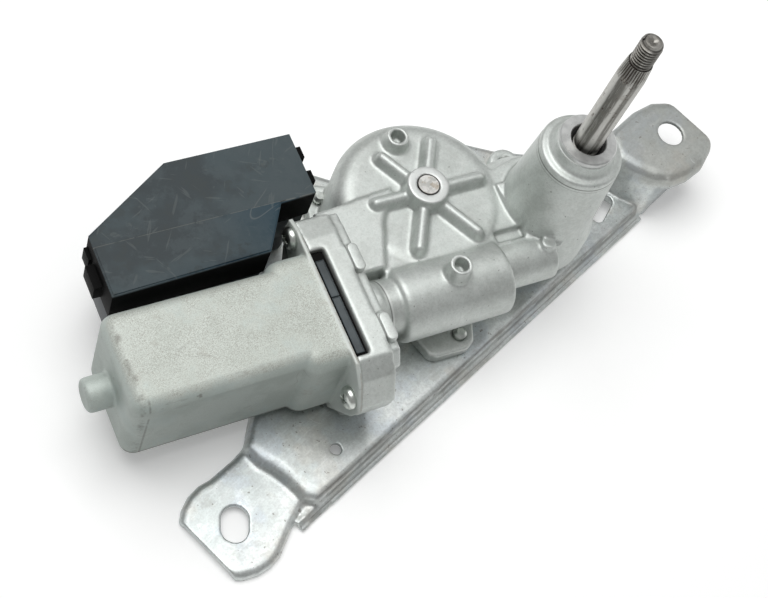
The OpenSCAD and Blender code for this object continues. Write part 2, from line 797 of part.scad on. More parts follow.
module worm() {
    tip = worm_r + addendum;
    root = worm_r - addendum - 0.3;
    crest = 42;
    foot = 117;
    blank = concat(
        arc([0, 0], tip, -crest, crest, 4),
        arc([0, 0], root, foot, 360 - foot, 6)
    );
    color(steel) placed() on_motor(wheel_x - worm_l / 2) difference() {
        rotate([0, 0, 90]) linear_extrude(height = worm_l, twist = -360 * worm_turns,
            slices = 12 * worm_turns, $fn = 12) polygon(blank);
        translate([0, 0, -1]) cylinder(r = motor_shaft_r, h = worm_l + 2);
    }
}

module armature_core() {
    color(dark) placed() on_motor(core_x) difference() {
        cylinder(r = core_r, h = core_l);
        translate([0, 0, -1]) cylinder(r = motor_shaft_r, h = core_l + 2);
        for (i = [0:slot_count - 1]) rotate([0, 0, i * 360 / slot_count]) {
            translate([coil_r, 0, -1]) cylinder(r = bar_r + 0.1, h = core_l + 2, $fn = 24);
            translate([coil_r, -0.7, -1]) cube([6, 1.4, core_l + 2]);
        }
    }
}

// Bars in the slots, joined by a rounded ring at each end of the core
module windings() {
    ring_r = 2.2;
    reach = ring_r + 0.1;
    color(copper) placed() on_motor(core_x) {
        for (z = [-reach, core_l + reach]) translate([0, 0, z])
            rotate_extrude() translate([coil_r, 0]) circle(r = ring_r, $fn = 24);
        for (i = [0:slot_count - 1]) rotate([0, 0, i * 360 / slot_count])
            translate([coil_r, 0, -reach]) cylinder(r = bar_r, h = core_l + 2 * reach, $fn = 24);
    }
}

module commutator() {
    color(copper) placed() on_motor(flange_x - 3.6) difference() {
        cylinder(r = commutator_r, h = 9);
        translate([0, 0, -1]) cylinder(r = motor_shaft_r, h = 11);
        for (i = [0:slot_count - 1]) rotate([0, 0, i * 360 / slot_count])
            translate([commutator_r - 0.8, -0.3, -1]) cube([2, 0.6, 11]);
    }
}

// Teeth as wedges of an annulus, one module high, about the node's own axis
module tooth_plan(count, r, thick) {
    tip = r + addendum * gear_module;
    root = r - (addendum + 0.3) * gear_module;
    half_root = (thick / 2 + 0.4) / root * 180 / PI;
    half_tip = (thick / 2 - 0.29) / tip * 180 / PI;
    polygon([
        for (i = [0:count - 1]) each [
            for (k = [[-half_root, root], [-half_tip, tip], [half_tip, tip], [half_root, root]])
                let (a = i * 360 / count + k[0]) k[1] * [cos(a), sin(a)]
        ]
    ]);
}

module worm_wheel() {
    tooth_t = lead / 2 - mesh_gap;
    helix = wheel_w * lead / (2 * PI * worm_r) / wheel_r * 180 / PI;
    color(white) placed() translate([wheel_x, wheel_y, wheel_z]) difference() {
        rotate([0, 0, -helix / 2]) linear_extrude(height = wheel_w, twist = -helix, slices = 3)
            tooth_plan(wheel_teeth, wheel_r, tooth_t);
        translate([0, 0, wheel_w - 3]) tube(25, 11, 4);
        translate([0, 0, -1]) tube(25, 14, 3.4);
        translate([0, 0, -1]) cylinder(r = 4.2, h = wheel_w + 2);
        rotate([0, 0, crank_dir]) translate([crank_r, 0, -1])
            cylinder(r = crank_pin_r, h = 6);
    }
}

module wheel_insert() {
    color(brass) placed() translate([wheel_x, wheel_y, wheel_z]) tube(4.2, axle_r + fit, wheel_w);
}

module crank_pin() {
    color(steel) placed() translate([eye_at[0], eye_at[1], link_z + link_t + gap])
        cylinder(r = crank_pin_r, h = wheel_z + 5 - link_z - link_t - gap);
}

module output_shaft() {
    color(steel) placed() {
        translate([0, 0, shaft_foot_z]) cylinder(r = shaft_r, h = collar_z - 2.5 - shaft_foot_z);
        translate([0, 0, collar_z - 2.6]) cylinder(r = shaft_r - 0.3, h = 2.8);
        translate([0, 0, collar_z]) cylinder(r = shaft_r, h = shaft_free_l);
        translate([0, 0, taper_z]) cylinder(r1 = shaft_r, r2 = cone_d / 2, h = cone_l);
        translate([0, 0, thread_z]) cylinder(r = thread_d / 2, h = thread_l - 1);
        translate([0, 0, shaft_tip_z - 1]) cylinder(r1 = thread_d / 2, r2 = 3.2, h = 1);
    }
}

module output_pinion() {
    color(dark) placed() translate([0, 0, link_z]) difference() {
        rotate([0, 0, lever_rest]) linear_extrude(height = link_t)
            tooth_plan(small_teeth, small_gear_r, lead / 2 - mesh_gap);
        translate([0, 0, -1]) cylinder(r = shaft_r, h = link_t + 2);
    }
}

module lever_plate() {
    color(steel) placed() translate([0, 0, lever_z]) difference() {
        rotate([0, 0, lever_rest]) linear_extrude(height = lever_t) {
            circle(r = 8.4);
            translate([lever_l, 0]) circle(r = 6);
            polygon([[0, -8.4], [lever_l, -6], [lever_l, 6], [0, 8.4]]);
        }
        translate([0, 0, -1]) cylinder(r = shaft_r + fit, h = lever_t + 2);
        translate([link_pin_at[0], link_pin_at[1], -1]) cylinder(r = pin_r, h = lever_t + 2);
    }
}

module lever_pin() {
    color(steel) placed() translate([link_pin_at[0], link_pin_at[1], lever_z])
        cylinder(r = pin_r, h = link_z + link_t + 0.6 - lever_z);
}

module toothed_link() {
    color(steel) placed() translate([link_pin_at[0], link_pin_at[1], link_z]) difference() {
        union() {
            rotate([0, 0, lever_rest + 180 + 180 / small_teeth]) linear_extrude(height = link_t)
                tooth_plan(small_teeth, small_gear_r, lead / 2 - mesh_gap);
            rotate([0, 0, link_dir]) linear_extrude(height = link_t) {
                polygon([[4, -5], [link_l - 2, -4], [link_l - 2, 4], [4, 5]]);
                translate([link_l, 0]) circle(r = 5.4);
            }
        }
        translate([0, 0, -1]) cylinder(r = pin_r + fit, h = link_t + 2);
        translate([eye_at[0] - link_pin_at[0], eye_at[1] - link_pin_at[1], -1])
            cylinder(r = crank_pin_r + 0.1, h = link_t + 2);
    }
}

mounting_bracket();
gear_housing();
housing_cover();
bracket_screws();
wheel_axle();
thrust_washer();
lower_bush();
upper_bush();
shaft_seal();
tower_collar();
motor_can();
can_screws();
can_bush();
magnets();
brush_holder();
carbon_brushes();
brush_springs();
motor_gasket();
worm_bearing();
tip_bush();
tip_plug();
control_case();
control_lid();
circuit_board();
relay();
capacitor();
socket_terminals();
case_screws();
armature_shaft();
worm();
armature_core();
windings();
commutator();
worm_wheel();
wheel_insert();
crank_pin();
output_shaft();
output_pinion();
lever_plate();
lever_pin();
toothed_link();
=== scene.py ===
import json
import math

import bmesh
import bpy
from mathutils import Matrix, Vector


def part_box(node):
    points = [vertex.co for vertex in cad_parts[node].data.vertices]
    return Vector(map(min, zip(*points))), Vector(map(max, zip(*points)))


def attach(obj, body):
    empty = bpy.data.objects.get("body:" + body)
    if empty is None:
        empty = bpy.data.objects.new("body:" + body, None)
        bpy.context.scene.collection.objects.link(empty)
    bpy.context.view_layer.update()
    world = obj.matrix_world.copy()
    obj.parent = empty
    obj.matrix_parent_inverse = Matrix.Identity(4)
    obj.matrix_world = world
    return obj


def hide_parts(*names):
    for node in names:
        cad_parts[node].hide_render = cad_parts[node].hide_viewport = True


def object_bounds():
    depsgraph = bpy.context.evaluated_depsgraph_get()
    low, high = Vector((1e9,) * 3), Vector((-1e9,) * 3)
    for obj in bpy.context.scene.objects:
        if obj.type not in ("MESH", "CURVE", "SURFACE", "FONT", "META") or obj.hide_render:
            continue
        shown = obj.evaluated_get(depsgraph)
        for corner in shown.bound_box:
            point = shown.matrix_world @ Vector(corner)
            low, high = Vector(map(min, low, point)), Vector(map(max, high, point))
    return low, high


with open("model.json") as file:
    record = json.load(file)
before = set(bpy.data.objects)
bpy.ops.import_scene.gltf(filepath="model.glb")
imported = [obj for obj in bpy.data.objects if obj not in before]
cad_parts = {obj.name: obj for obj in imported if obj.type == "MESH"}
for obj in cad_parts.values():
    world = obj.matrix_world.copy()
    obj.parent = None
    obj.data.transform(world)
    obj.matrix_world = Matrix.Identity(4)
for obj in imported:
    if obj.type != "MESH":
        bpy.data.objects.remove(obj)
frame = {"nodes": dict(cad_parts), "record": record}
CAD_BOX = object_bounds()
SLOTS = {part["node"]: part["material_slot"] for part in frame["record"]["subparts"]}

bl_info = {
    "name": "Rear wiper motor",
    "version": (1, 0, 0),
    "blender": (4, 5, 0),
    "location": "View3D > Sidebar > Wiper motor",
    "description": "Builds a rear wiper motor's looks over its CAD frame, with light and camera",
    "category": "Object",
}

MM = 0.001
MOST_TRIANGLES = 190000
BRACKET_TURN = math.radians(23.4)

# Places on the object, in millimetres
WHEEL_X, WHEEL_Y = -46.5, 14.7
TOWER_GROOVE = -9.4
MOTOR_Y, NECK_X, NECK_Z = -20.3, -78.2, -48.0
BLOCK_JOINT, STRIP_JOINT = -100.95, -88.1
PAD_X, PAD_YS, PAD_TOP = -85.9, (-6.5, -34.1), -29.7
CAN_END, CAN_FRONT, CAN_TOP, CAN_SEAM = -173.4, -35.5, -30.6, -65.4
FLANGE_X = -102.6
CAN_SCREWS = ((-49.2, -45.1, 0.5), (8.6, -34.9, 0.2))  # y and z, and a turn in radians
LID_TOP, LID_RIDGE = -29.2, 20.2
EAR_X, EAR_Y = 70.0, 17.0
SHAFT_FOOT = -68.1
LOOKED_AT = (-74.69, -17.03, -48.5)

# Places along and across the bracket, in millimetres
LIP_SLOPE = 0.01355
LIP_GROOVE, LIP_LINE, LIP_EDGE = -21.2, -23.4, -24.2
LIP_START, LIP_END = -142.0, 50.0
STEP_ALONG, STEP_ACROSS, STEP_RADIUS = -188.0, -11.6, 51.5

# Places of the lights and the point that they face, in metres
KEY_PLACE, FILL_PLACE, LIT_POINT = (-0.2, 0.32, 1.05), (0.95, -0.1, 0.4), (-0.06, 0, -0.05)


# Properties


def colour(name, description, default):
    """A colour setting."""
    return bpy.props.FloatVectorProperty(
        name=name, description=description, default=default, size=3, min=0, max=1,
        subtype="COLOR")


def length(name, description, millimetres, **limits):
    """A length setting."""
    return bpy.props.FloatProperty(
        name=name, description=description, default=millimetres * MM, unit="LENGTH", **limits)


class FinishProperties(bpy.types.PropertyGroup):
    """Colours of the main finishes."""

    casting_dark: colour("Casting, dark", "Darker parts of the bare casting", (0.53, 0.56, 0.535))
    casting_pale: colour("Casting, pale", "Paler parts of the bare casting", (0.605, 0.64, 0.615))
    zinc_dark: colour("Bracket, dark", "Darker parts of the plated bracket", (0.545, 0.585, 0.575))
    zinc_pale: colour("Bracket, pale", "Paler parts of the plated bracket", (0.665, 0.70, 0.685))
    can_dark: colour("Can, dark", "Darker parts of the can's coating", (0.455, 0.51, 0.475))
    can_pale: colour("Can, pale", "Paler parts of the can's coating", (0.53, 0.585, 0.55))
    # The lid's two colours go on its top only, where their paleness is partly wear and partly
    # painted sheen
    plastic_dark: colour("Box, dark", "Clean parts of the box's lid", (0.007, 0.019, 0.033))
    plastic_pale: colour("Box, pale", "Worn parts of the box's lid", (0.036, 0.064, 0.083))


class CastingProperties(bpy.types.PropertyGroup):
    """How the die casting is softened."""

    voxel: length("Grid", "Size of the grid that the casting's surface is rebuilt on", 0.55,
                  min=0.3 * MM)
    passes: bpy.props.IntProperty(
        name="Softening", description="Number of smoothing passes that turn edges into fillets",
        default=7, min=0)


class SheetProperties(bpy.types.PropertyGroup):
    """How the pressed bracket and the drawn can are softened."""

    voxel: length("Grid", "Size of the grid that the sheet's surface is rebuilt on", 0.5,
                  min=0.3 * MM)
    passes: bpy.props.IntProperty(
        name="Softening", description="Number of smoothing passes that round the bends",
        default=5, min=0)
    bend_passes: bpy.props.IntProperty(
        name="Step softening",
        description="Number of extra passes that round the step beside the near ear",
        default=14, min=0)


class ShaftProperties(bpy.types.PropertyGroup):
    """Sizes of the output shaft."""

    radius: length("Radius", "Radius of the plain shaft", 5)
    free_length: length("Free length", "Length of plain shaft above the collar", 37.8)
    cone_length: length("Cone length", "Length of the splined cone", 8.5)
    cone_radius: length("Cone radius", "Radius at the small end of the splined cone", 4.4)
    tip_length: length("Tip length", "Length of the threaded tip", 10.6)
    splines: bpy.props.IntProperty(
        name="Splines", description="Number of fine straight splines on the cone",
        default=30, min=8)
    thread_radius: length("Thread radius", "Outer radius of the thread", 4)
    pitch: length("Pitch", "Pitch of the thread", 1.25)
    turns: bpy.props.FloatProperty(
        name="Turns", description="Number of turns of the thread", default=7.4, min=1)


class ScrewProperties(bpy.types.PropertyGroup):
    """Sizes of the can's pan-head screws."""

    head_radius: length("Head radius", "Radius of the pan head", 4.2)
    head_height: length("Head height", "Height of the pan head", 3)
    shank_radius: length("Shank radius", "Radius of the screw's shank", 2)
    shank_length: length("Shank length", "Length of the screw below its head", 11.4)


class BoxProperties(bpy.types.PropertyGroup):
    """Edges of the control box."""

    edge: length("Edge", "Radius of the box's moulded edges", 0.7)


class StageProperties(bpy.types.PropertyGroup):
    """Floor, light and camera."""

    floor_z: bpy.props.FloatProperty(
        name="Floor", description="Height of the floor",
        default=CAD_BOX[0][2], unit="LENGTH")
    azimuth: bpy.props.FloatProperty(
        name="Azimuth", description="Direction of the camera round the object",
        default=math.radians(-49.22), subtype="ANGLE")
    elevation: bpy.props.FloatProperty(
        name="Elevation", description="Angle of the camera above the horizon",
        default=math.radians(58.55), subtype="ANGLE")
    roll: bpy.props.FloatProperty(
        name="Roll", description="Turn of the camera about its own line of sight",
        default=math.radians(28.71), subtype="ANGLE")
    distance: length("Distance", "Distance from the camera to the point it looks at", 545.46)
    lens: bpy.props.FloatProperty(
        name="Lens", description="Focal length in millimetres on a 36 mm wide sensor",
        default=72.66)
    key: bpy.props.FloatProperty(
        name="Key light", description="Power of the large light above the object, in watts",
        default=10.5)
    key_size: length("Key size", "Width of the large light", 1000)
    fill: bpy.props.FloatProperty(
        name="Fill light", description="Power of the light beside the shaft, in watts",
        default=1.2)
    fill_size: length("Fill size", "Width of the light beside the shaft", 700)
    sky: bpy.props.FloatProperty(
        name="Sky", description="Brightness of the plain surroundings",
        default=0.32)


class WiperMotorProperties(bpy.types.PropertyGroup):
    """All of the wiper motor's settings."""

    finish: bpy.props.PointerProperty(type=FinishProperties)
    casting: bpy.props.PointerProperty(type=CastingProperties)
    sheet: bpy.props.PointerProperty(type=SheetProperties)
    shaft: bpy.props.PointerProperty(type=ShaftProperties)
    screws: bpy.props.PointerProperty(type=ScrewProperties)
    box: bpy.props.PointerProperty(type=BoxProperties)
    stage: bpy.props.PointerProperty(type=StageProperties)


# Materials


class Field:
    """A socket in a node tree, with arithmetic written as Python."""

    def __init__(self, tree, socket=None):
        self.tree = tree
        self.socket = socket

    def node(self, kind, settings, inputs, output=0):
        """Adds a node with these settings and inputs, and gives one of its outputs."""
        made = self.tree.nodes.new(kind)
        for name, value in settings.items():
            setattr(made, name, value)
        for name, value in inputs.items():
            if isinstance(value, Field):
                self.tree.links.new(value.socket, made.inputs[name])
            else:
                made.inputs[name].default_value = value
        return Field(self.tree, made.outputs[output] if made.outputs else None)

    def math(self, operation, *values):
        """Result of a Math node."""
        return self.node("ShaderNodeMath", {"operation": operation}, dict(enumerate(values)))

    def __add__(self, other):
        return self.math("ADD", self, other)

    def __radd__(self, other):
        return self.math("ADD", other, self)

    def __sub__(self, other):
        return self.math("SUBTRACT", self, other)

    def __rsub__(self, other):
        return self.math("SUBTRACT", other, self)

    def __mul__(self, other):
        return self.math("MULTIPLY", self, other)

    def __rmul__(self, other):
        return self.math("MULTIPLY", other, self)

    def step(self, low, high):
        """Smooth rise from 0 at low to 1 at high."""
        return self.node("ShaderNodeMapRange", {"interpolation_type": "SMOOTHSTEP"},
                         {0: self, 1: low, 2: high, 3: 0.0, 4: 1.0})

    def band(self, middle, half, blur):
        """1 within half of the middle, and 0 a blur further out."""
        return self.math("ABSOLUTE", self - middle).step(half + blur, half)

    def away(self, other):
        """Distance from zero on two axes."""
        return self.math("SQRT", self * self + other * other)

    def mix(self, low, high):
        """Colour between low, where this is 0, and high, where it is 1."""
        return self.node("ShaderNodeMix", {"data_type": "RGBA"}, {0: self, 6: low, 7: high}, 2)

    def blend(self, low, high):
        """Number between low, where this is 0, and high, where it is 1."""
        return self.node("ShaderNodeMix", {"data_type": "FLOAT"}, {0: self, 2: low, 3: high})

    def tinted(self, where, r, g, b):
        """This colour, with another one laid over it by a mask."""
        return where.mix(self, rgb(r, g, b))

    def stretched(self, scale, turn=(0, 0, 0)):
        """These coordinates turned, and then scaled."""
        turned = self.node("ShaderNodeMapping", {}, {0: self, 2: turn})
        return self.node("ShaderNodeMapping", {}, {0: turned, 3: scale})

    def noise(self, scale, detail=3.0, roughness=0.55):
        """Soft noise from 0 to 1 on these coordinates."""
        return self.node("ShaderNodeTexNoise", {}, {
            "Vector": self, "Scale": scale, "Detail": detail, "Roughness": roughness})

    def scratches(self, scale, width, low=0.54, high=0.58):
        """Thin wandering lines from 0 to 1, broken up along their way."""
        path = self.noise(scale, 1.0, 0.4).band(0.5, 0.0, width)
        return path * self.noise(scale * 1.6, 2.0, 0.5).step(low, high)

    def bump(self, strength, depth):
        """Normal of a surface that is raised where this is high, by a depth in millimetres."""
        return self.node("ShaderNodeBump", {}, {
            "Strength": strength, "Distance": depth * MM, "Height": self})

    def shown(self):
        """1 for a ray of the camera, of a reflection or through glass, and 0 for other light."""
        camera, glossy, through = (
            self.node("ShaderNodeLightPath", {}, {}, ray)
            for ray in ("Is Camera Ray", "Is Glossy Ray", "Is Transmission Ray"))
        return self.math("MAXIMUM", self.math("MAXIMUM", camera, glossy), through)


def rgb(r, g, b):
    """A colour with full opacity."""
    return (r, g, b, 1.0)


def chosen(name):
    """A colour from the settings."""
    return rgb(*getattr(bpy.context.scene.wiper.finish, name))


class Finish:
    """A material being built.

    place is in metres, and x, y and z are the same place in millimetres. curve is about 0.5
    where the surface is flat, lower in a corner and higher on an edge."""

    def __init__(self, name):
        self.material = bpy.data.materials.get(name) or bpy.data.materials.new(name)
        self.material.use_nodes = True
        self.material.node_tree.nodes.clear()
        self.start = Field(self.material.node_tree)
        self.place = self.start.node("ShaderNodeTexCoord", {}, {}, "Object")
        self.curve = self.start.node("ShaderNodeNewGeometry", {}, {}, "Pointiness")
        measured = self.start.node("ShaderNodeVectorMath", {"operation": "SCALE"},
                                   {0: self.place, "Scale": 1 / MM})
        self.x, self.y, self.z = (
            self.start.node("ShaderNodeSeparateXYZ", {}, {0: measured}, axis) for axis in "XYZ")

    def done(self, **inputs):
        """Sets the shader's inputs, each a plain value or a field, and gives the material."""
        named = {key.replace("_", " ").title().replace("Ior", "IOR"): value
                 for key, value in inputs.items()}
        shader = self.start.node("ShaderNodeBsdfPrincipled", {}, named)
        self.start.node("ShaderNodeOutputMaterial", {}, {"Surface": shader})
        return self.material


def bracket_axes(x, y):
    """A place's distances along and across the bracket."""
    c, s = math.cos(BRACKET_TURN), math.sin(BRACKET_TURN)
    return x * c + y * s, y * c - x * s


def cast_aluminium():
    """Satin die casting with a sandy grain, flow marks and dark pits, painted shade in corners and
    groove rings, and painted highlights on edges.
    """
    f = Finish("cast_aluminium")
    broad = f.place.noise(40.0, 4.0, 0.6)
    flow = f.place.stretched((1.0, 1.0, 0.4), (0.3, 0.2, 0.5)).noise(130.0, 5.0, 0.68)
    mottle = f.place.noise(460.0, 3.0, 0.65)
    grain = f.place.noise(1250.0, 2.0, 0.7)
    pits = f.place.noise(760.0, 1.0, 0.5).step(0.765, 0.785)
    # Painted shade in corners and a painted highlight on edges, both found by pointiness
    corner = f.curve.step(0.492, 0.43)
    crest = f.curve.step(0.52, 0.57)
    base = broad.step(0.40, 0.60).mix(chosen("casting_dark"), chosen("casting_pale"))
    base = base.tinted(flow.step(0.52, 0.66) * 0.25, 0.44, 0.455, 0.43)
    base = base.tinted(flow.step(0.46, 0.34) * 0.30, 0.74, 0.76, 0.74)
    base = base.tinted(mottle.step(0.44, 0.60) * 0.20, 0.76, 0.78, 0.76)
    base = base.tinted(grain.step(0.52, 0.40) * 0.20, 0.36, 0.37, 0.35)
    # Painted shade in the corners, then a painted highlight on the edges
    base = base.tinted(corner * 0.55, 0.16, 0.17, 0.155)
    base = base.tinted(crest * 0.45, 0.82, 0.84, 0.82)
    base = base.tinted(pits * 0.5, 0.07, 0.07, 0.06)
    tower = f.x.away(f.y).step(17.5, 17.0)
    # Painted shade in the tower's two groove rings
    groove_shade = (f.z.band(TOWER_GROOVE, 0.1, 0.25) * 0.8
               + f.z.band(TOWER_GROOVE - 1.2, 0.05, 0.2) * 0.35) * tower
    beside_pads = sum((f.y.band(y, 5.6, 0.3) for y in PAD_YS), 0.0)
    neck = (f.y - MOTOR_Y).away(f.z - NECK_Z).step(11.6, 11.2)
    # Dark joint lines at the block and strip, and painted shade at the neck's step
    joints_and_neck_shade = (f.x.band(BLOCK_JOINT, 0.12, 0.2)
              + beside_pads * f.x.band(STRIP_JOINT, 0.1, 0.25) * f.z.step(-32, -31)
              + neck * f.x.band(NECK_X, 0.08, 0.3))
    # Painted shade in the tower's groove rings and at the neck's step, with the dark joint lines
    base = base.tinted(groove_shade + joints_and_neck_shade * 0.7, 0.13, 0.135, 0.125)
    # Painted highlight beside the neck's step
    base = base.tinted(neck * f.x.band(NECK_X + 0.6, 0.1, 0.4) * 0.5, 0.84, 0.86, 0.84)
    hub = (f.x - WHEEL_X).away(f.y - WHEEL_Y).step(8.0, 7.6) * f.z.step(-34.2, -33.7)
    base = base.tinted(hub * 0.5, 0.78, 0.79, 0.78)
    rough = 0.38 + grain * 0.14 + broad * 0.08 - crest * 0.08
    height = grain * 0.5 + flow * 0.7 + mottle * 0.5 - pits * 1.5
    return f.done(base_color=base, metallic=0.72, roughness=rough,
                  normal=height.bump(0.4, 0.14))


def bracket_steel():
    """Zinc-plated sheet with rolling lines, faint stains and specks, painted shade in corners and
    painted highlights on bends.
    """
    f = Finish("bracket_steel")
    cloud = f.place.noise(30.0, 4.0, 0.6)
    stain = f.place.noise(95.0, 6.0, 0.72)
    warm = f.place.noise(52.0, 3.0, 0.6)
    mottle = f.place.noise(420.0, 3.0, 0.6)
    grain = f.place.noise(1200.0, 2.0, 0.6)
    streak = f.place.stretched((1.0, 16.0, 1.0), (0, 0, -BRACKET_TURN)).noise(55.0, 4.0, 0.65)
    speck = f.place.noise(600.0, 2.0, 0.5).step(0.68, 0.72)
    # Painted shade in corners and a painted highlight on bends, both found by pointiness
    corner = f.curve.step(0.49, 0.43)
    crest = f.curve.step(0.525, 0.59)
    base = cloud.step(0.42, 0.58).mix(chosen("zinc_dark"), chosen("zinc_pale"))
    base = base.tinted(warm.step(0.52, 0.62) * 0.45, 0.60, 0.575, 0.52)
    base = base.tinted(warm.step(0.46, 0.36) * 0.45, 0.52, 0.58, 0.64)
    base = base.tinted(stain.step(0.55, 0.62) * 0.30, 0.40, 0.395, 0.36)
    base = base.tinted(stain.step(0.44, 0.36) * 0.25, 0.84, 0.85, 0.85)
    base = base.tinted(streak.step(0.50, 0.64) * 0.18, 0.84, 0.86, 0.86)
    base = base.tinted(mottle.step(0.54, 0.42) * 0.20, 0.38, 0.39, 0.39)
    base = base.tinted(grain.step(0.52, 0.42) * 0.20, 0.34, 0.345, 0.34)
    base = base.tinted(speck * 0.6, 0.16, 0.14, 0.12)
    # Painted shade in the corners, then a painted highlight on the bends
    base = base.tinted(corner * 0.5, 0.20, 0.20, 0.18)
    base = base.tinted(crest * 0.4, 0.80, 0.81, 0.80)
    dull = (f.x - EAR_X).away(f.y - EAR_Y).step(30, 18) * f.z.step(-60, -56)
    base = base.tinted(dull * (0.25 + cloud * 0.35), 0.36, 0.35, 0.31)
    along, across = bracket_axes(f.x, f.y)
    lip = across + along * LIP_SLOPE
    dirt = f.place.stretched((1.0, 12.0, 1.0), (0, 0, -BRACKET_TURN)).noise(70.0, 4.0, 0.65)
    groove = (lip.band(LIP_GROOVE, 0.7, 0.8) * (0.25 + dirt.step(0.42, 0.58) * 0.35)
              + lip.band(LIP_LINE, 0.06, 0.2) * 0.45
              + lip.band(LIP_EDGE, 0.6, 0.4) * dirt.step(0.50, 0.60) * 0.25)
    on_lip = (along.step(LIP_START - 1, LIP_START + 1)
              * along.step(LIP_END + 0.5, LIP_END - 0.5))
    base = base.tinted(groove * on_lip, 0.17, 0.162, 0.15)
    # Painted shade: the wall below the far ear is painted darker and bluish
    wall = along.step(52, 54) * f.z.step(-57, -60)
    base = base.tinted(wall * (0.25 + cloud * 0.5), 0.25, 0.275, 0.29)
    chips = f.place.noise(1000.0, 1.0, 0.5).step(0.60, 0.64) * dull
    base = base.tinted(chips * crest * 0.7, 0.84, 0.85, 0.83)
    base = base.tinted(f.place.scratches(34.0, 0.0022) * 0.35, 0.86, 0.87, 0.86)
    rough = 0.32 + dull * 0.12 + stain * 0.18 + cloud * 0.08
    height = streak * 0.4 + stain * 0.4 + mottle * 0.3 + grain * 0.3
    return f.done(base_color=base, metallic=0.9, roughness=rough,
                  normal=height.bump(0.24, 0.12))


def can_steel():
    """Matte grey-green coating on drawn steel, with dark speckle, scuffed edges, a painted paler
    top and painted shade below the front seam.
    """
    f = Finish("can_steel")
    cloud = f.place.noise(52.0, 4.0, 0.62)
    speckle = f.place.noise(2900.0, 2.0, 0.75)
    fleck = f.place.noise(1500.0, 3.0, 0.7)
    scuff = f.place.noise(130.0, 6.0, 0.75)
    drag = f.place.stretched((0.25, 1.0, 1.0)).noise(210.0, 5.0, 0.7)
    patch = f.place.noise(70.0, 4.0, 0.65)
    top = f.z.step(CAN_TOP - 1.4, CAN_TOP)
    front = f.y.step(CAN_FRONT + 1, CAN_FRONT - 1)
    foot = f.y.step(CAN_FRONT, CAN_FRONT - 1)
    flange = f.x.step(FLANGE_X - 0.3, FLANGE_X + 0.1)
    sand = (top * 0.75 + 0.25) * (1 - flange * 0.6) * (0.5 + patch.step(0.42, 0.58) * 0.6)
    base = cloud.step(0.42, 0.60).mix(chosen("can_dark"), chosen("can_pale"))
    # Painted light: the top is painted paler, as if lit from above
    base = base.tinted(top * 0.5, 0.60, 0.62, 0.56)
    base = base.tinted(patch.step(0.48, 0.36) * 0.35, 0.50, 0.58, 0.56)
    base = base.tinted(speckle.step(0.50, 0.58) * sand * 0.42, 0.24, 0.23, 0.20)
    base = base.tinted(speckle.step(0.46, 0.38) * sand * 0.30, 0.78, 0.81, 0.77)
    base = base.tinted(fleck.step(0.57, 0.63) * sand * 0.45, 0.27, 0.24, 0.20)
    base = base.tinted(scuff.step(0.58, 0.68) * 0.30, 0.37, 0.355, 0.31)
    base = base.tinted(drag.step(0.63, 0.67) * 0.30, 0.24, 0.24, 0.22)
    base = base.tinted(flange * 0.5, 0.66, 0.69, 0.67)
    rim = f.x.band(CAN_END, 0.2, 1.5) * scuff.step(0.47, 0.62)
    edge = front * f.z.band(CAN_TOP - 2, 0.3, 0.8) * scuff.step(0.56, 0.62)
    seam = foot * f.z.band(CAN_SEAM, 0.12, 0.3)
    # Painted shade on the front's lowest strip, below the seam
    under = foot * f.z.step(CAN_SEAM, CAN_SEAM - 0.4)
    corner = f.x.band(CAN_END + 1.8, 0.15, 0.4) * front * scuff.step(0.42, 0.50)
    # Wear on the rim, top edge and corner, the dark seam, and painted shade below the seam
    wear_and_shade = (rim * 0.5 + edge * 0.5 + seam * 0.7 + under * 0.25 + corner * 0.45) * (1 - flange)
    lipped = flange * f.x.step(FLANGE_X + 0.7, FLANGE_X + 1.1) * scuff.step(0.46, 0.54)
    base = base.tinted(wear_and_shade, 0.10, 0.085, 0.07)
    base = base.tinted(lipped * 0.4, 0.30, 0.25, 0.20)
    base = base.tinted(f.place.scratches(40.0, 0.0026) * 0.4, 0.22, 0.21, 0.19)
    rough = 0.48 + speckle * 0.14
    return f.done(base_color=base, metallic=0.25, roughness=rough,
                  normal=(speckle + fleck * 0.5 - seam * 2).bump(0.25, 0.05))


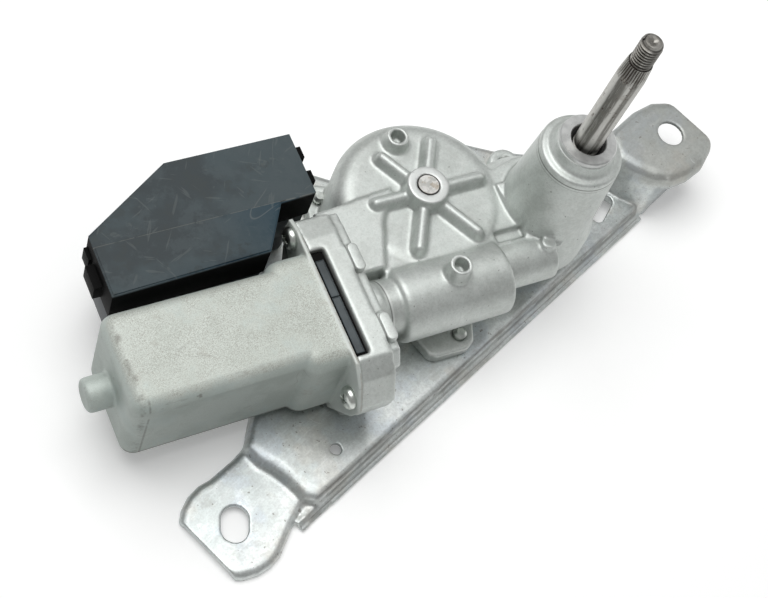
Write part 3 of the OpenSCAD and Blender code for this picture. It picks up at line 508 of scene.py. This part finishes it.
def shaft_steel():
    """Worn steel with dark lengthwise streaks, and painted shade between the splines and in the
    thread's roots.
    """
    f = Finish("shaft_steel")
    look = bpy.context.scene.wiper.shaft
    cone_z = look.free_length / MM
    tip_z = cone_z + look.cone_length / MM
    taper = (look.radius - look.cone_radius) / look.cone_length
    streak = f.place.stretched((1.0, 1.0, 0.03)).noise(190.0, 3.0, 0.6)
    fine = f.place.stretched((1.0, 1.0, 0.08)).noise(1400.0, 3.0, 0.7)
    cloud = f.place.noise(300.0, 5.0, 0.72)
    rust = f.place.noise(560.0, 4.0, 0.7).step(0.62, 0.67)
    out = f.x.away(f.y)
    cone = look.radius / MM - (f.z - cone_z) * taper
    # Painted shade in the valleys between the splines and in the thread's roots
    splines = f.z.band(cone_z + 4.2, 4.3, 0.3) * (cone - out).step(0.10, 0.36)
    threads = (f.z.step(tip_z - 0.3, tip_z + 0.2) * out.step(3.85, 3.4)
               * f.z.step(tip_z + 10, tip_z + 9.5))
    base = streak.step(0.42, 0.52).mix(rgb(0.185, 0.18, 0.165), rgb(0.50, 0.495, 0.47))
    base = base.tinted(fine.step(0.50, 0.60) * 0.25, 0.66, 0.65, 0.62)
    base = base.tinted(cloud.step(0.54, 0.64) * 0.35, 0.24, 0.22, 0.19)
    base = base.tinted(rust * 0.6, 0.085, 0.055, 0.04)
    # Painted shade between the splines
    base = base.tinted(splines * 0.75, 0.07, 0.05, 0.04)
    base = base.tinted(f.z.step(tip_z - 0.3, tip_z + 0.5) * 0.6, 0.22, 0.21, 0.19)
    # Painted shade in the thread's roots
    base = base.tinted(threads * 0.8, 0.06, 0.055, 0.05)
    rough = 0.36 + cloud * 0.20 + rust * 0.3 + splines * 0.3
    return f.done(base_color=base, metallic=0.9, roughness=rough,
                  normal=(streak * 0.5 + fine * 0.3 - rust).bump(0.25, 0.08))


def pin_steel():
    """Head of the wheel's axle: bright, with a dark rim and brown stains."""
    f = Finish("pin_steel")
    cloud = f.place.noise(420.0, 4.0, 0.65)
    stain = f.place.noise(330.0, 3.0, 0.6).step(0.54, 0.60)
    out = (f.x - WHEEL_X).away(f.y - WHEEL_Y)
    base = cloud.step(0.42, 0.58).mix(rgb(0.60, 0.60, 0.57), rgb(0.80, 0.79, 0.76))
    base = base.tinted(stain * 0.5, 0.42, 0.33, 0.22)
    base = base.tinted(out.step(3.75, 3.95), 0.06, 0.055, 0.05)
    return f.done(base_color=base, metallic=0.9, roughness=0.28 + cloud * 0.15,
                  normal=(cloud - stain * 0.4).bump(0.3, 0.1))


def plain_metal(name, dark, pale, roughness):
    """Bare metal with soft variation and small dark specks."""
    f = Finish(name)
    cloud = f.place.noise(300.0, 4.0, 0.6)
    speck = f.place.noise(1200.0, 2.0, 0.5).step(0.68, 0.75)
    base = cloud.step(0.35, 0.65).mix(rgb(*dark), rgb(*pale))
    base = base.tinted(speck * 0.5, 0.12, 0.10, 0.09)
    rough = roughness + cloud * 0.12
    return f.done(base_color=base, metallic=1.0, roughness=rough,
                  normal=cloud.bump(0.06, 0.05))


def black_plastic():
    """Moulded black plastic: blue-grey on top, partly wear and partly painted sheen, with pale
    scratches and rubs, and painted highlights on edges.
    """
    f = Finish("black_plastic")
    cloud = f.place.noise(26.0, 4.0, 0.6)
    haze = f.place.noise(75.0, 5.0, 0.7)
    grain = f.place.noise(1500.0, 2.0, 0.6)
    strokes = sum(
        (f.place.stretched((9.0, 1.0, 1.0), (0, 0, turn)).noise(scale, 2.0, 0.6).step(0.665, 0.70)
         for turn, scale in ((0.5, 46.0), (1.1, 60.0), (-0.5, 52.0), (-1.2, 66.0))), 0.0)
    arcs = f.place.stretched((1.0, 0.5, 1.0), (0, 0, 0.9)).scratches(34.0, 0.0035, 0.52, 0.56)
    rubs = f.place.noise(120.0, 5.0, 0.7).step(0.62, 0.68)
    # Painted highlight on the lid's edges, found by pointiness
    crest = f.curve.step(0.51, 0.56)
    # Only the top gets the blue-grey colours, partly wear and partly a painted sheen for the top's
    # reflection
    top = f.z.step(LID_TOP - 1, LID_TOP)
    # Painted highlight along the lid's raised step line
    ridge_highlight = f.y.band(LID_RIDGE, 0.12, 0.22) * f.place.noise(300.0).step(0.35, 0.5)
    base = cloud.step(0.43, 0.57).mix(chosen("plastic_dark"), chosen("plastic_pale"))
    base = base.tinted(haze.step(0.50, 0.60) * 0.5, 0.058, 0.084, 0.102)
    base = base.tinted(haze.step(0.46, 0.40) * 0.5, 0.014, 0.022, 0.028)
    base = base.tinted(rubs * 0.4, 0.13, 0.15, 0.15)
    base = base.tinted(strokes * 0.3, 0.17, 0.19, 0.19)
    base = base.tinted(arcs * 0.5, 0.17, 0.185, 0.185)
    # Painted highlights on the raised step line and on the edges
    base = base.tinted(ridge_highlight * 0.6, 0.20, 0.20, 0.18)
    base = base.tinted(crest * 0.5, 0.12, 0.13, 0.125)
    # Painted sheen: only the top gets the paler colours, which are partly wear, while the sides
    # stay near black
    base = top.mix(rgb(0.005, 0.005, 0.005), base)
    rough = 0.48 + cloud * 0.14 + grain * 0.06
    return f.done(base_color=base, metallic=0.0, roughness=rough, specular_ior_level=0.05,
                  normal=(grain + haze * 0.6).bump(0.14, 0.05))


def plain_plastic(name, dark, pale, roughness):
    """Moulded plastic with faint variation and grain."""
    f = Finish(name)
    cloud = f.place.noise(90.0, 4.0, 0.6)
    grain = f.place.noise(1600.0, 2.0, 0.6)
    base = cloud.step(0.3, 0.7).mix(rgb(*dark), rgb(*pale))
    return f.done(base_color=base, metallic=0.0, roughness=roughness + cloud * 0.1,
                  normal=grain.bump(0.12, 0.04))


# Each plain finish's dark and pale colour, and its roughness
PLAIN_METALS = {
    "bright_zinc": ((0.50, 0.53, 0.50), (0.70, 0.73, 0.69), 0.24),
    "machined_steel": ((0.42, 0.42, 0.41), (0.60, 0.60, 0.59), 0.26),
    "collar_steel": ((0.58, 0.59, 0.58), (0.70, 0.71, 0.70), 0.36),
    "bronze": ((0.42, 0.29, 0.14), (0.60, 0.44, 0.24), 0.38),
    "copper": ((0.50, 0.24, 0.12), (0.70, 0.38, 0.22), 0.30),
    "ferrite": ((0.06, 0.06, 0.065), (0.11, 0.11, 0.115), 0.5),
}
PLAIN_PLASTICS = {
    "black_rubber": ((0.012, 0.012, 0.012), (0.03, 0.03, 0.03), 0.6),
    "grey_plastic": ((0.075, 0.085, 0.09), (0.11, 0.12, 0.13), 0.5),
    "white_plastic": ((0.68, 0.66, 0.60), (0.78, 0.76, 0.70), 0.42),
    "board_green": ((0.02, 0.12, 0.05), (0.04, 0.18, 0.08), 0.35),
    "tray_plastic": ((0.028, 0.038, 0.042), (0.065, 0.082, 0.088), 0.32),
}


def make_finishes():
    """Makes the material of every slot, and two more for single pieces."""
    for make in (cast_aluminium, bracket_steel, can_steel, shaft_steel, black_plastic, pin_steel):
        make()
    for name, values in PLAIN_METALS.items():
        plain_metal(name, *values)
    for name, values in PLAIN_PLASTICS.items():
        plain_plastic(name, *values)


# Shapes


def mesh_object(name, bm, slot_name, finish=None):
    """Makes an object from a bmesh, with its slot's material if no other finish is named."""
    mesh = bpy.data.meshes.new(name)
    bmesh.ops.recalc_face_normals(bm, faces=bm.faces)
    bm.to_mesh(mesh)
    bm.free()
    mesh.polygons.foreach_set("use_smooth", [True] * len(mesh.polygons))
    mesh.set_sharp_from_angle(angle=math.radians(35))
    mesh.materials.append(bpy.data.materials[finish or slot_name])
    obj = bpy.data.objects.new(name, mesh)
    bpy.context.scene.collection.objects.link(obj)
    return obj


def settle(obj):
    """Turns the object's modifiers into its mesh."""
    bpy.context.view_layer.update()
    graph = bpy.context.evaluated_depsgraph_get()
    mesh = bpy.data.meshes.new_from_object(obj.evaluated_get(graph))
    obj.modifiers.clear()
    obj.data = mesh


def merged_copy(node):
    """A bmesh of a CAD node with its triangles joined."""
    bm = bmesh.new()
    bm.from_mesh(frame["nodes"][node].data)
    bmesh.ops.remove_doubles(bm, verts=bm.verts, dist=0.002 * MM)
    return bm


def sharp_edges(bm, degrees):
    """Edges whose two faces meet at more than this angle."""
    return [e for e in bm.edges
            if len(e.link_faces) == 2 and e.calc_face_angle() > math.radians(degrees)]


def round_edges(bm, edges, radius, segments):
    """Turns edges into arcs."""
    bmesh.ops.bevel(bm, geom=edges, offset=radius, offset_type="OFFSET", affect="EDGES",
                    segments=segments, profile=0.5, material=-1, clamp_overlap=True)


def verts_of(geom):
    """The points among what an operator made."""
    return [g for g in geom if isinstance(g, bmesh.types.BMVert)]


def smooth_bend(obj, on_bend, passes):
    """Softens the points of an object that are on a bend."""
    bm = bmesh.new()
    bm.from_mesh(obj.data)
    points = [v for v in bm.verts if on_bend(v.co)]
    for _ in range(passes):
        bmesh.ops.smooth_vert(bm, verts=points, factor=0.5, use_axis_x=True, use_axis_y=True,
                              use_axis_z=True)
    bm.to_mesh(obj.data)
    bm.free()


def softened(name, node, body, slot_name, look, start=None, on_bend=None):
    """Replaces a CAD node by its shape on a fine grid, with its edges turned into fillets.

    start is a copy of the node that was added to, and on_bend tells which points are softened
    further."""
    obj = mesh_object(name, start or merged_copy(node), slot_name)
    grid = obj.modifiers.new("Grid", "REMESH")
    grid.mode = "VOXEL"
    grid.voxel_size = look.voxel
    grid.use_smooth_shade = True
    soft = obj.modifiers.new("Soft", "SMOOTH")
    soft.factor = 0.5
    soft.iterations = look.passes
    settle(obj)
    if on_bend:
        smooth_bend(obj, on_bend, look.bend_passes)
    triangles = 2 * len(obj.data.polygons)
    if triangles > MOST_TRIANGLES:
        fewer = obj.modifiers.new("Fewer", "DECIMATE")
        fewer.ratio = MOST_TRIANGLES / triangles
        settle(obj)
    obj.data.polygons.foreach_set("use_smooth", [True] * len(obj.data.polygons))
    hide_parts(node)
    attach(obj, body)


def bevelled(name, node, body, slot_name, edge):
    """Replaces a flat-sided CAD node by its shape with rounded edges."""
    bm = merged_copy(node)
    bmesh.ops.dissolve_limit(bm, angle_limit=math.radians(1), verts=bm.verts, edges=bm.edges)
    round_edges(bm, sharp_edges(bm, 25), edge, 3)
    obj = mesh_object(name, bm, slot_name)
    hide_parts(node)
    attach(obj, body)


def add_spun(bm, profile, steps=64):
    """Adds a full turn of a profile of (radius, height) points about the Z axis."""
    verts = [bm.verts.new((r, 0, z)) for r, z in profile]
    edges = [bm.edges.new(pair) for pair in zip(verts, verts[1:])]
    bmesh.ops.spin(bm, geom=verts + edges, cent=(0, 0, 0), axis=(0, 0, 1), angle=2 * math.pi,
                   steps=steps, use_merge=True)


# Operators


class WIPER_OT_finishes(bpy.types.Operator):
    """Makes the materials and gives every CAD node its own"""

    bl_idname = "wiper.finishes"
    bl_label = "Finishes"

    def execute(self, context):
        make_finishes()
        for node, slot_name in SLOTS.items():
            obj = frame["nodes"][node]
            finish = "pin_steel" if node == "wheel_axle" else slot_name
            obj.data.materials.clear()
            obj.data.materials.append(bpy.data.materials[finish])
        return {"FINISHED"}


class WIPER_OT_casting(bpy.types.Operator):
    """Makes the soft-edged casting"""

    bl_idname = "wiper.casting"
    bl_label = "Casting"

    def execute(self, context):
        look = context.scene.wiper.casting
        softened("casting_soft", "gear_housing", "housing", "cast_aluminium", look)
        return {"FINISHED"}


class WIPER_OT_pads(bpy.types.Operator):
    """Makes the two oblong pads on the strip beside the motor block"""

    bl_idname = "wiper.pads"
    bl_label = "Strip pads"

    def execute(self, context):
        top, foot, radius, half = PAD_TOP * MM, -33 * MM, 2.0 * MM, 3.4 * MM
        bm = bmesh.new()
        for y in PAD_YS:
            ring = bmesh.ops.create_circle(bm, cap_ends=True, segments=32, radius=radius)["verts"]
            for v in ring:
                v.co.y += half if v.co.y > 0 else -half
            bmesh.ops.translate(bm, verts=ring, vec=(PAD_X * MM, y * MM, foot))
            made = bmesh.ops.extrude_face_region(bm, geom=ring[0].link_faces[:])["geom"]
            bmesh.ops.translate(bm, verts=verts_of(made), vec=(0, 0, top - foot))
        rims = [e for e in bm.edges if min(v.co.z for v in e.verts) > top - 0.01 * MM]
        round_edges(bm, rims, 0.55 * MM, 4)
        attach(mesh_object("strip_pads", bm, "cast_aluminium"), "housing")
        return {"FINISHED"}


class WIPER_OT_bracket(bpy.types.Operator):
    """Makes the pressed bracket with its soft bends"""

    bl_idname = "wiper.bracket"
    bl_label = "Bracket"

    def execute(self, context):
        look = context.scene.wiper.sheet
        sheet = merged_copy("mounting_bracket")
        self.close_lip(sheet)
        softened("bracket_soft", "mounting_bracket", "housing", "bracket_steel", look, sheet,
                 self.on_step)
        return {"FINISHED"}

    def close_lip(self, sheet):
        """Joins the lip's end to the step, where the real sheet goes on without a gap."""
        middle, size = Vector((-121.8, -71.2, -77.2)), Vector((8.0, 5.5, 2.4))
        bmesh.ops.create_cube(sheet, size=1.0, matrix=(
            Matrix.Translation(middle * MM) @ Matrix.Rotation(BRACKET_TURN, 4, "Z")
            @ Matrix.Diagonal(size * MM).to_4x4()))

    def on_step(self, point):
        """Whether a point is on the curved step beside the near ear."""
        along, across = bracket_axes(point.x / MM, point.y / MM)
        away = math.hypot(along - STEP_ALONG, across - STEP_ACROSS)
        return abs(away - STEP_RADIUS) < 5.5


class WIPER_OT_can(bpy.types.Operator):
    """Makes the deep-drawn can"""

    bl_idname = "wiper.can"
    bl_label = "Can"

    def execute(self, context):
        look = context.scene.wiper.sheet
        softened("can_soft", "motor_can", "housing", "can_steel", look)
        return {"FINISHED"}


class WIPER_OT_shaft(bpy.types.Operator):
    """Makes the output shaft with its splined cone and thread"""

    bl_idname = "wiper.shaft"
    bl_label = "Output shaft"

    def execute(self, context):
        look = context.scene.wiper.shaft
        r, free, foot = look.radius, look.free_length, SHAFT_FOOT * MM
        shoulder = free + look.cone_length
        tip = shoulder + look.tip_length
        core = look.cone_radius - 0.5 * MM
        root = look.thread_radius - 0.62 * look.pitch
        bm = bmesh.new()
        add_spun(bm, [
            # Plain shaft with a groove at the collar
            (0, foot), (r - 0.5 * MM, foot), (r, foot + 0.5 * MM), (r, -2.6 * MM),
            (r - 0.3 * MM, -2.4 * MM), (r - 0.3 * MM, 0), (r, 0.1 * MM), (r, free),
            # Core of the cone, under the splines
            (r - 0.12 * MM, free + 0.3 * MM), (r - 0.55 * MM, free + 3 * MM),
            (core, shoulder), (core, shoulder + 0.3 * MM),
            # Core of the thread, with a centre hole in its end
            (root, shoulder + 0.5 * MM), (root, tip - 0.9 * MM), (root - 0.4 * MM, tip - 0.1 * MM),
            (root - 0.9 * MM, tip), (1.4 * MM, tip), (0, tip - 0.8 * MM)])
        self.add_splines(bm, look, shoulder)
        self.add_thread(bm, look, shoulder, root)
        obj = mesh_object("output_shaft_worn", bm, "shaft_steel")
        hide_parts("output_shaft")
        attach(obj, "output")
        return {"FINISHED"}

    def add_splines(self, bm, look, shoulder):
        """Adds the fine straight splines round the cone."""
        count = 2 * look.splines
        low, high = look.free_length + 0.2 * MM, shoulder - 0.3 * MM
        crest, deep = look.radius - 0.02 * MM, 0.45 * MM
        # Height and radius of each ring, and the depth of the valleys there
        rows = [(low, crest, 0.0), (low + 2.6 * MM, crest - 0.15 * MM, deep),
                (high - 0.6 * MM, look.cone_radius + 0.05 * MM, deep),
                (high, look.cone_radius - 0.1 * MM, 0.1 * MM)]
        ring = bmesh.ops.create_circle(bm, segments=count, radius=look.radius)["verts"]
        bmesh.ops.translate(bm, verts=ring, vec=(0, 0, low))
        edges = list({e for v in ring for e in v.link_edges})
        rings = [ring]
        for z, _, _ in rows[1:]:
            made = bmesh.ops.extrude_edge_only(bm, edges=edges)["geom"]
            edges = [g for g in made if isinstance(g, bmesh.types.BMEdge)]
            rings.append(verts_of(made))
            for v in rings[-1]:
                v.co.z = z
        for (_, radius, depth), ring in zip(rows, rings):
            for v in ring:
                angle = math.atan2(v.co.y, v.co.x)
                in_valley = round(angle / (2 * math.pi) * count) % 2
                reach = radius - depth * in_valley
                v.co.x, v.co.y = reach * math.cos(angle), reach * math.sin(angle)

    def add_thread(self, bm, look, shoulder, root):
        """Adds the thread's ridge, wound round its core."""
        start, half, flat = shoulder + 0.7 * MM, 0.42 * look.pitch, 0.08 * look.pitch
        inside, outside = root - 0.1 * MM, look.thread_radius
        profile = [(inside, start - half), (outside, start - flat), (outside, start + flat),
                   (inside, start + half)]
        verts = [bm.verts.new((r, 0, z)) for r, z in profile]
        edges = [bm.edges.new(pair) for pair in zip(verts, verts[1:] + verts[:1])]
        steps = int(look.turns * 40)
        bmesh.ops.contextual_create(bm, geom=edges)
        bmesh.ops.spin(bm, geom=verts + edges, cent=(0, 0, 0), axis=(0, 0, 1),
                       dvec=(0, 0, look.pitch * look.turns / steps),
                       angle=2 * math.pi * look.turns, steps=steps)
        run_out = start + look.pitch * look.turns - half * 1.5
        last = [v for v in bm.verts
                if v.co.z > run_out and math.hypot(v.co.x, v.co.y) > root + 0.1 * MM]
        bmesh.ops.scale(bm, verts=last, vec=(0.93, 0.93, 1))


class WIPER_OT_screws(bpy.types.Operator):
    """Makes the pan-head screws that hold the can"""

    bl_idname = "wiper.screws"
    bl_label = "Can screws"

    def execute(self, context):
        look = context.scene.wiper.screws
        head, rise = look.head_radius, look.head_height
        shank, foot = look.shank_radius, -look.shank_length
        bm = bmesh.new()
        add_spun(bm, [
            (0, foot), (shank - 0.4 * MM, foot), (shank, foot + 0.4 * MM), (shank, 0),
            (head - 0.1 * MM, 0), (head, 0.15 * MM), (head, 0.8 * MM),
            (head * 0.95, 0.55 * rise), (head * 0.84, 0.78 * rise), (head * 0.66, 0.93 * rise),
            (head * 0.42, rise), (0, rise)], 48)
        screw = mesh_object("screw_blank", bm, "bright_zinc")
        cutter = self.cross(look)
        cut = screw.modifiers.new("Recess", "BOOLEAN")
        cut.operation = "DIFFERENCE"
        cut.solver = "EXACT"
        cut.object = cutter
        settle(screw)
        both = bmesh.new()
        for y, z, turn in CAN_SCREWS:
            before = len(both.verts)
            both.from_mesh(screw.data)
            both.verts.ensure_lookup_table()
            place = (Matrix.Translation(Vector((FLANGE_X, y, z)) * MM)
                     @ Matrix.Rotation(-math.pi / 2, 4, "Y") @ Matrix.Rotation(turn, 4, "Z"))
            bmesh.ops.transform(both, matrix=place, verts=both.verts[before:])
        for spare in (screw, cutter):
            bpy.data.objects.remove(spare)
        obj = mesh_object("can_screws_crossed", both, "bright_zinc")
        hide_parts("can_screws")
        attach(obj, "housing")
        return {"FINISHED"}

    def cross(self, look):
        """A tapered cross that cuts the recess."""
        reach, half, deep = look.head_radius * 0.62, 0.5 * MM, 2.6 * MM
        bm = bmesh.new()
        core = bmesh.ops.create_cube(bm, size=1.0)["verts"]
        bmesh.ops.scale(bm, verts=core, vec=(2 * half, 2 * half, deep))
        bmesh.ops.translate(bm, verts=core, vec=(0, 0, look.head_height + 0.5 * MM - deep / 2))
        bm.normal_update()
        sides = [f for f in bm.faces if abs(f.normal.z) < 0.5]
        for side in bmesh.ops.extrude_discrete_faces(bm, faces=sides)["faces"]:
            bmesh.ops.translate(bm, verts=side.verts, vec=side.normal * (reach - half))
        low = [v for v in bm.verts if v.co.z < look.head_height - deep / 2]
        bmesh.ops.scale(bm, verts=low, vec=(0.45, 0.45, 1))
        return mesh_object("recess_cutter", bm, "bright_zinc")


class WIPER_OT_box(bpy.types.Operator):
    """Makes the control box"""

    bl_idname = "wiper.box"
    bl_label = "Control box"

    def execute(self, context):
        look = context.scene.wiper.box
        bevelled("lid_moulded", "control_lid", "housing", "black_plastic", look.edge)
        bevelled("case_moulded", "control_case", "housing", "grey_plastic", look.edge * 0.6)
        return {"FINISHED"}


class WIPER_OT_tray(bpy.types.Operator):
    """Makes the shallow tray in the slot of the motor block"""

    bl_idname = "wiper.tray"
    bl_label = "Slot tray"

    def execute(self, context):
        low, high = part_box("brush_holder")
        rise, wall, side, depth = 0.6 * MM, 0.35 * MM, 0.9 * MM, 0.35 * MM
        gap = (-18.2 * MM, -17.9 * MM)
        middle, floor = (low[0] + high[0]) / 2, high[2] - 0.05 * MM
        bm = bmesh.new()
        for y0, y1 in ((low[1] + 0.8 * MM, gap[0]), (gap[1], high[1] - 3.2 * MM)):
            half = bmesh.ops.create_cube(bm, size=1.0)["verts"]
            bmesh.ops.scale(bm, verts=half, vec=(high[0] - low[0] - 2 * side, y1 - y0, rise))
            bmesh.ops.translate(bm, verts=half, vec=(middle, (y0 + y1) / 2, floor + rise / 2))
        tops = [f for f in bm.faces if f.normal.z > 0.9]
        bmesh.ops.inset_individual(bm, faces=tops, thickness=wall, use_even_offset=True)
        bmesh.ops.translate(bm, verts=list({v for f in tops for v in f.verts}),
                            vec=(0, 0, -depth))
        round_edges(bm, sharp_edges(bm, 50), 0.12 * MM, 2)
        obj = mesh_object("slot_tray", bm, "black_plastic", "tray_plastic")
        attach(obj, "housing")
        return {"FINISHED"}


class WIPER_OT_stage(bpy.types.Operator):
    """Sets the floor, light and camera"""

    bl_idname = "wiper.stage"
    bl_label = "Stage"

    def execute(self, context):
        look = context.scene.wiper.stage
        self.floor(context, look)
        self.light(context, "key", look.key, look.key_size, KEY_PLACE)
        self.light(context, "fill", look.fill, look.fill_size, FILL_PLACE)
        self.surroundings(context, look)
        self.camera(context, look)
        context.scene.view_settings.view_transform = "Standard"
        return {"FINISHED"}

    def floor(self, context, look):
        """A white floor that glows faintly near the object, and more where the light ends."""
        half, near, far = 30.0, 0.5, 1.6
        bm = bmesh.new()
        bmesh.ops.create_grid(bm, x_segments=1, y_segments=1, size=half)
        bmesh.ops.translate(bm, verts=bm.verts, vec=(0, 0, look.floor_z))
        mesh = bpy.data.meshes.new("floor")
        bm.to_mesh(mesh)
        bm.free()
        f = Finish("floor_white")
        seen = f.start.shown()
        shade = seen.mix(rgb(0.42, 0.42, 0.42), rgb(0.93, 0.935, 0.93))
        glow = seen * f.x.away(f.y).step(near / MM, far / MM).blend(0.18, 0.72)
        mesh.materials.append(f.done(
            base_color=shade, roughness=0.9, emission_color=glow.mix(rgb(0, 0, 0), rgb(1, 1, 1)),
            emission_strength=1.0))
        obj = bpy.data.objects.new("floor", mesh)
        context.scene.collection.objects.link(obj)

    def light(self, context, name, power, size, place):
        """A square light that faces the object."""
        data = bpy.data.lights.new(name, "AREA")
        data.energy = power
        data.size = size
        lamp = bpy.data.objects.new(name, data)
        lamp.location = place
        aim = Vector(LIT_POINT) - Vector(place)
        lamp.rotation_euler = aim.to_track_quat("-Z", "Y").to_euler()
        context.scene.collection.objects.link(lamp)

    def surroundings(self, context, look):
        """Plain white surroundings at one brightness."""
        world = bpy.data.worlds.new("surroundings")
        world.use_nodes = True
        world.node_tree.nodes.clear()
        start = Field(world.node_tree)
        sky = start.node("ShaderNodeBackground", {}, {0: rgb(1, 1, 1), 1: look.sky})
        start.node("ShaderNodeOutputWorld", {}, {"Surface": sky})
        context.scene.world = world

    def camera(self, context, look):
        """A camera at the photograph's angle."""
        az, el, roll = look.azimuth, look.elevation, look.roll
        back = Vector((math.sin(az) * math.cos(el), -math.cos(az) * math.cos(el), math.sin(el)))
        right = (-back).cross(Vector((0, 0, 1))).normalized()
        up = right.cross(-back)
        turned = right * math.cos(roll) + up * math.sin(roll)
        upright = up * math.cos(roll) - right * math.sin(roll)
        place = Vector(LOOKED_AT) * MM + back * look.distance
        data = bpy.data.cameras.new("camera")
        data.lens = look.lens
        data.sensor_width = 36
        data.clip_start = 0.01
        camera = bpy.data.objects.new("camera", data)
        axes = Matrix((turned, upright, back)).transposed().to_4x4()
        camera.matrix_world = Matrix.Translation(place) @ axes
        context.scene.collection.objects.link(camera)
        context.scene.camera = camera


class WIPER_PT_panel(bpy.types.Panel):
    """Sidebar with the wiper motor's settings"""

    bl_idname = "WIPER_PT_panel"
    bl_label = "Wiper motor"
    bl_space_type = "VIEW_3D"
    bl_region_type = "UI"
    bl_category = "Wiper motor"

    def draw(self, context):
        settings = context.scene.wiper
        for group, steps in GROUPS.items():
            part = self.layout.box()
            look = getattr(settings, group)
            for name in look.bl_rna.properties.keys():
                if name not in {"rna_type", "name"}:
                    part.prop(look, name)
            for step in steps:
                part.operator(step)


# Each group of settings with its operators
GROUPS = {
    "finish": ["wiper.finishes"],
    "casting": ["wiper.casting", "wiper.pads"],
    "sheet": ["wiper.bracket", "wiper.can"],
    "shaft": ["wiper.shaft"],
    "screws": ["wiper.screws"],
    "box": ["wiper.box", "wiper.tray"],
    "stage": ["wiper.stage"],
}
CLASSES = (
    FinishProperties, CastingProperties, SheetProperties, ShaftProperties, ScrewProperties,
    BoxProperties, StageProperties, WiperMotorProperties, WIPER_OT_finishes, WIPER_OT_casting,
    WIPER_OT_pads, WIPER_OT_bracket, WIPER_OT_can, WIPER_OT_shaft, WIPER_OT_screws, WIPER_OT_box,
    WIPER_OT_tray, WIPER_OT_stage, WIPER_PT_panel,
)


def register():
    for cls in CLASSES:
        bpy.utils.register_class(cls)
    bpy.types.Scene.wiper = bpy.props.PointerProperty(type=WiperMotorProperties)


def unregister():
    del bpy.types.Scene.wiper
    for cls in reversed(CLASSES):
        bpy.utils.unregister_class(cls)


def main():
    register()
    bpy.ops.wiper.finishes()
    bpy.ops.wiper.casting()
    bpy.ops.wiper.pads()
    bpy.ops.wiper.bracket()
    bpy.ops.wiper.can()
    bpy.ops.wiper.shaft()
    bpy.ops.wiper.screws()
    bpy.ops.wiper.box()
    bpy.ops.wiper.tray()
    bpy.ops.wiper.stage()


if __name__ == "__main__":
    main()
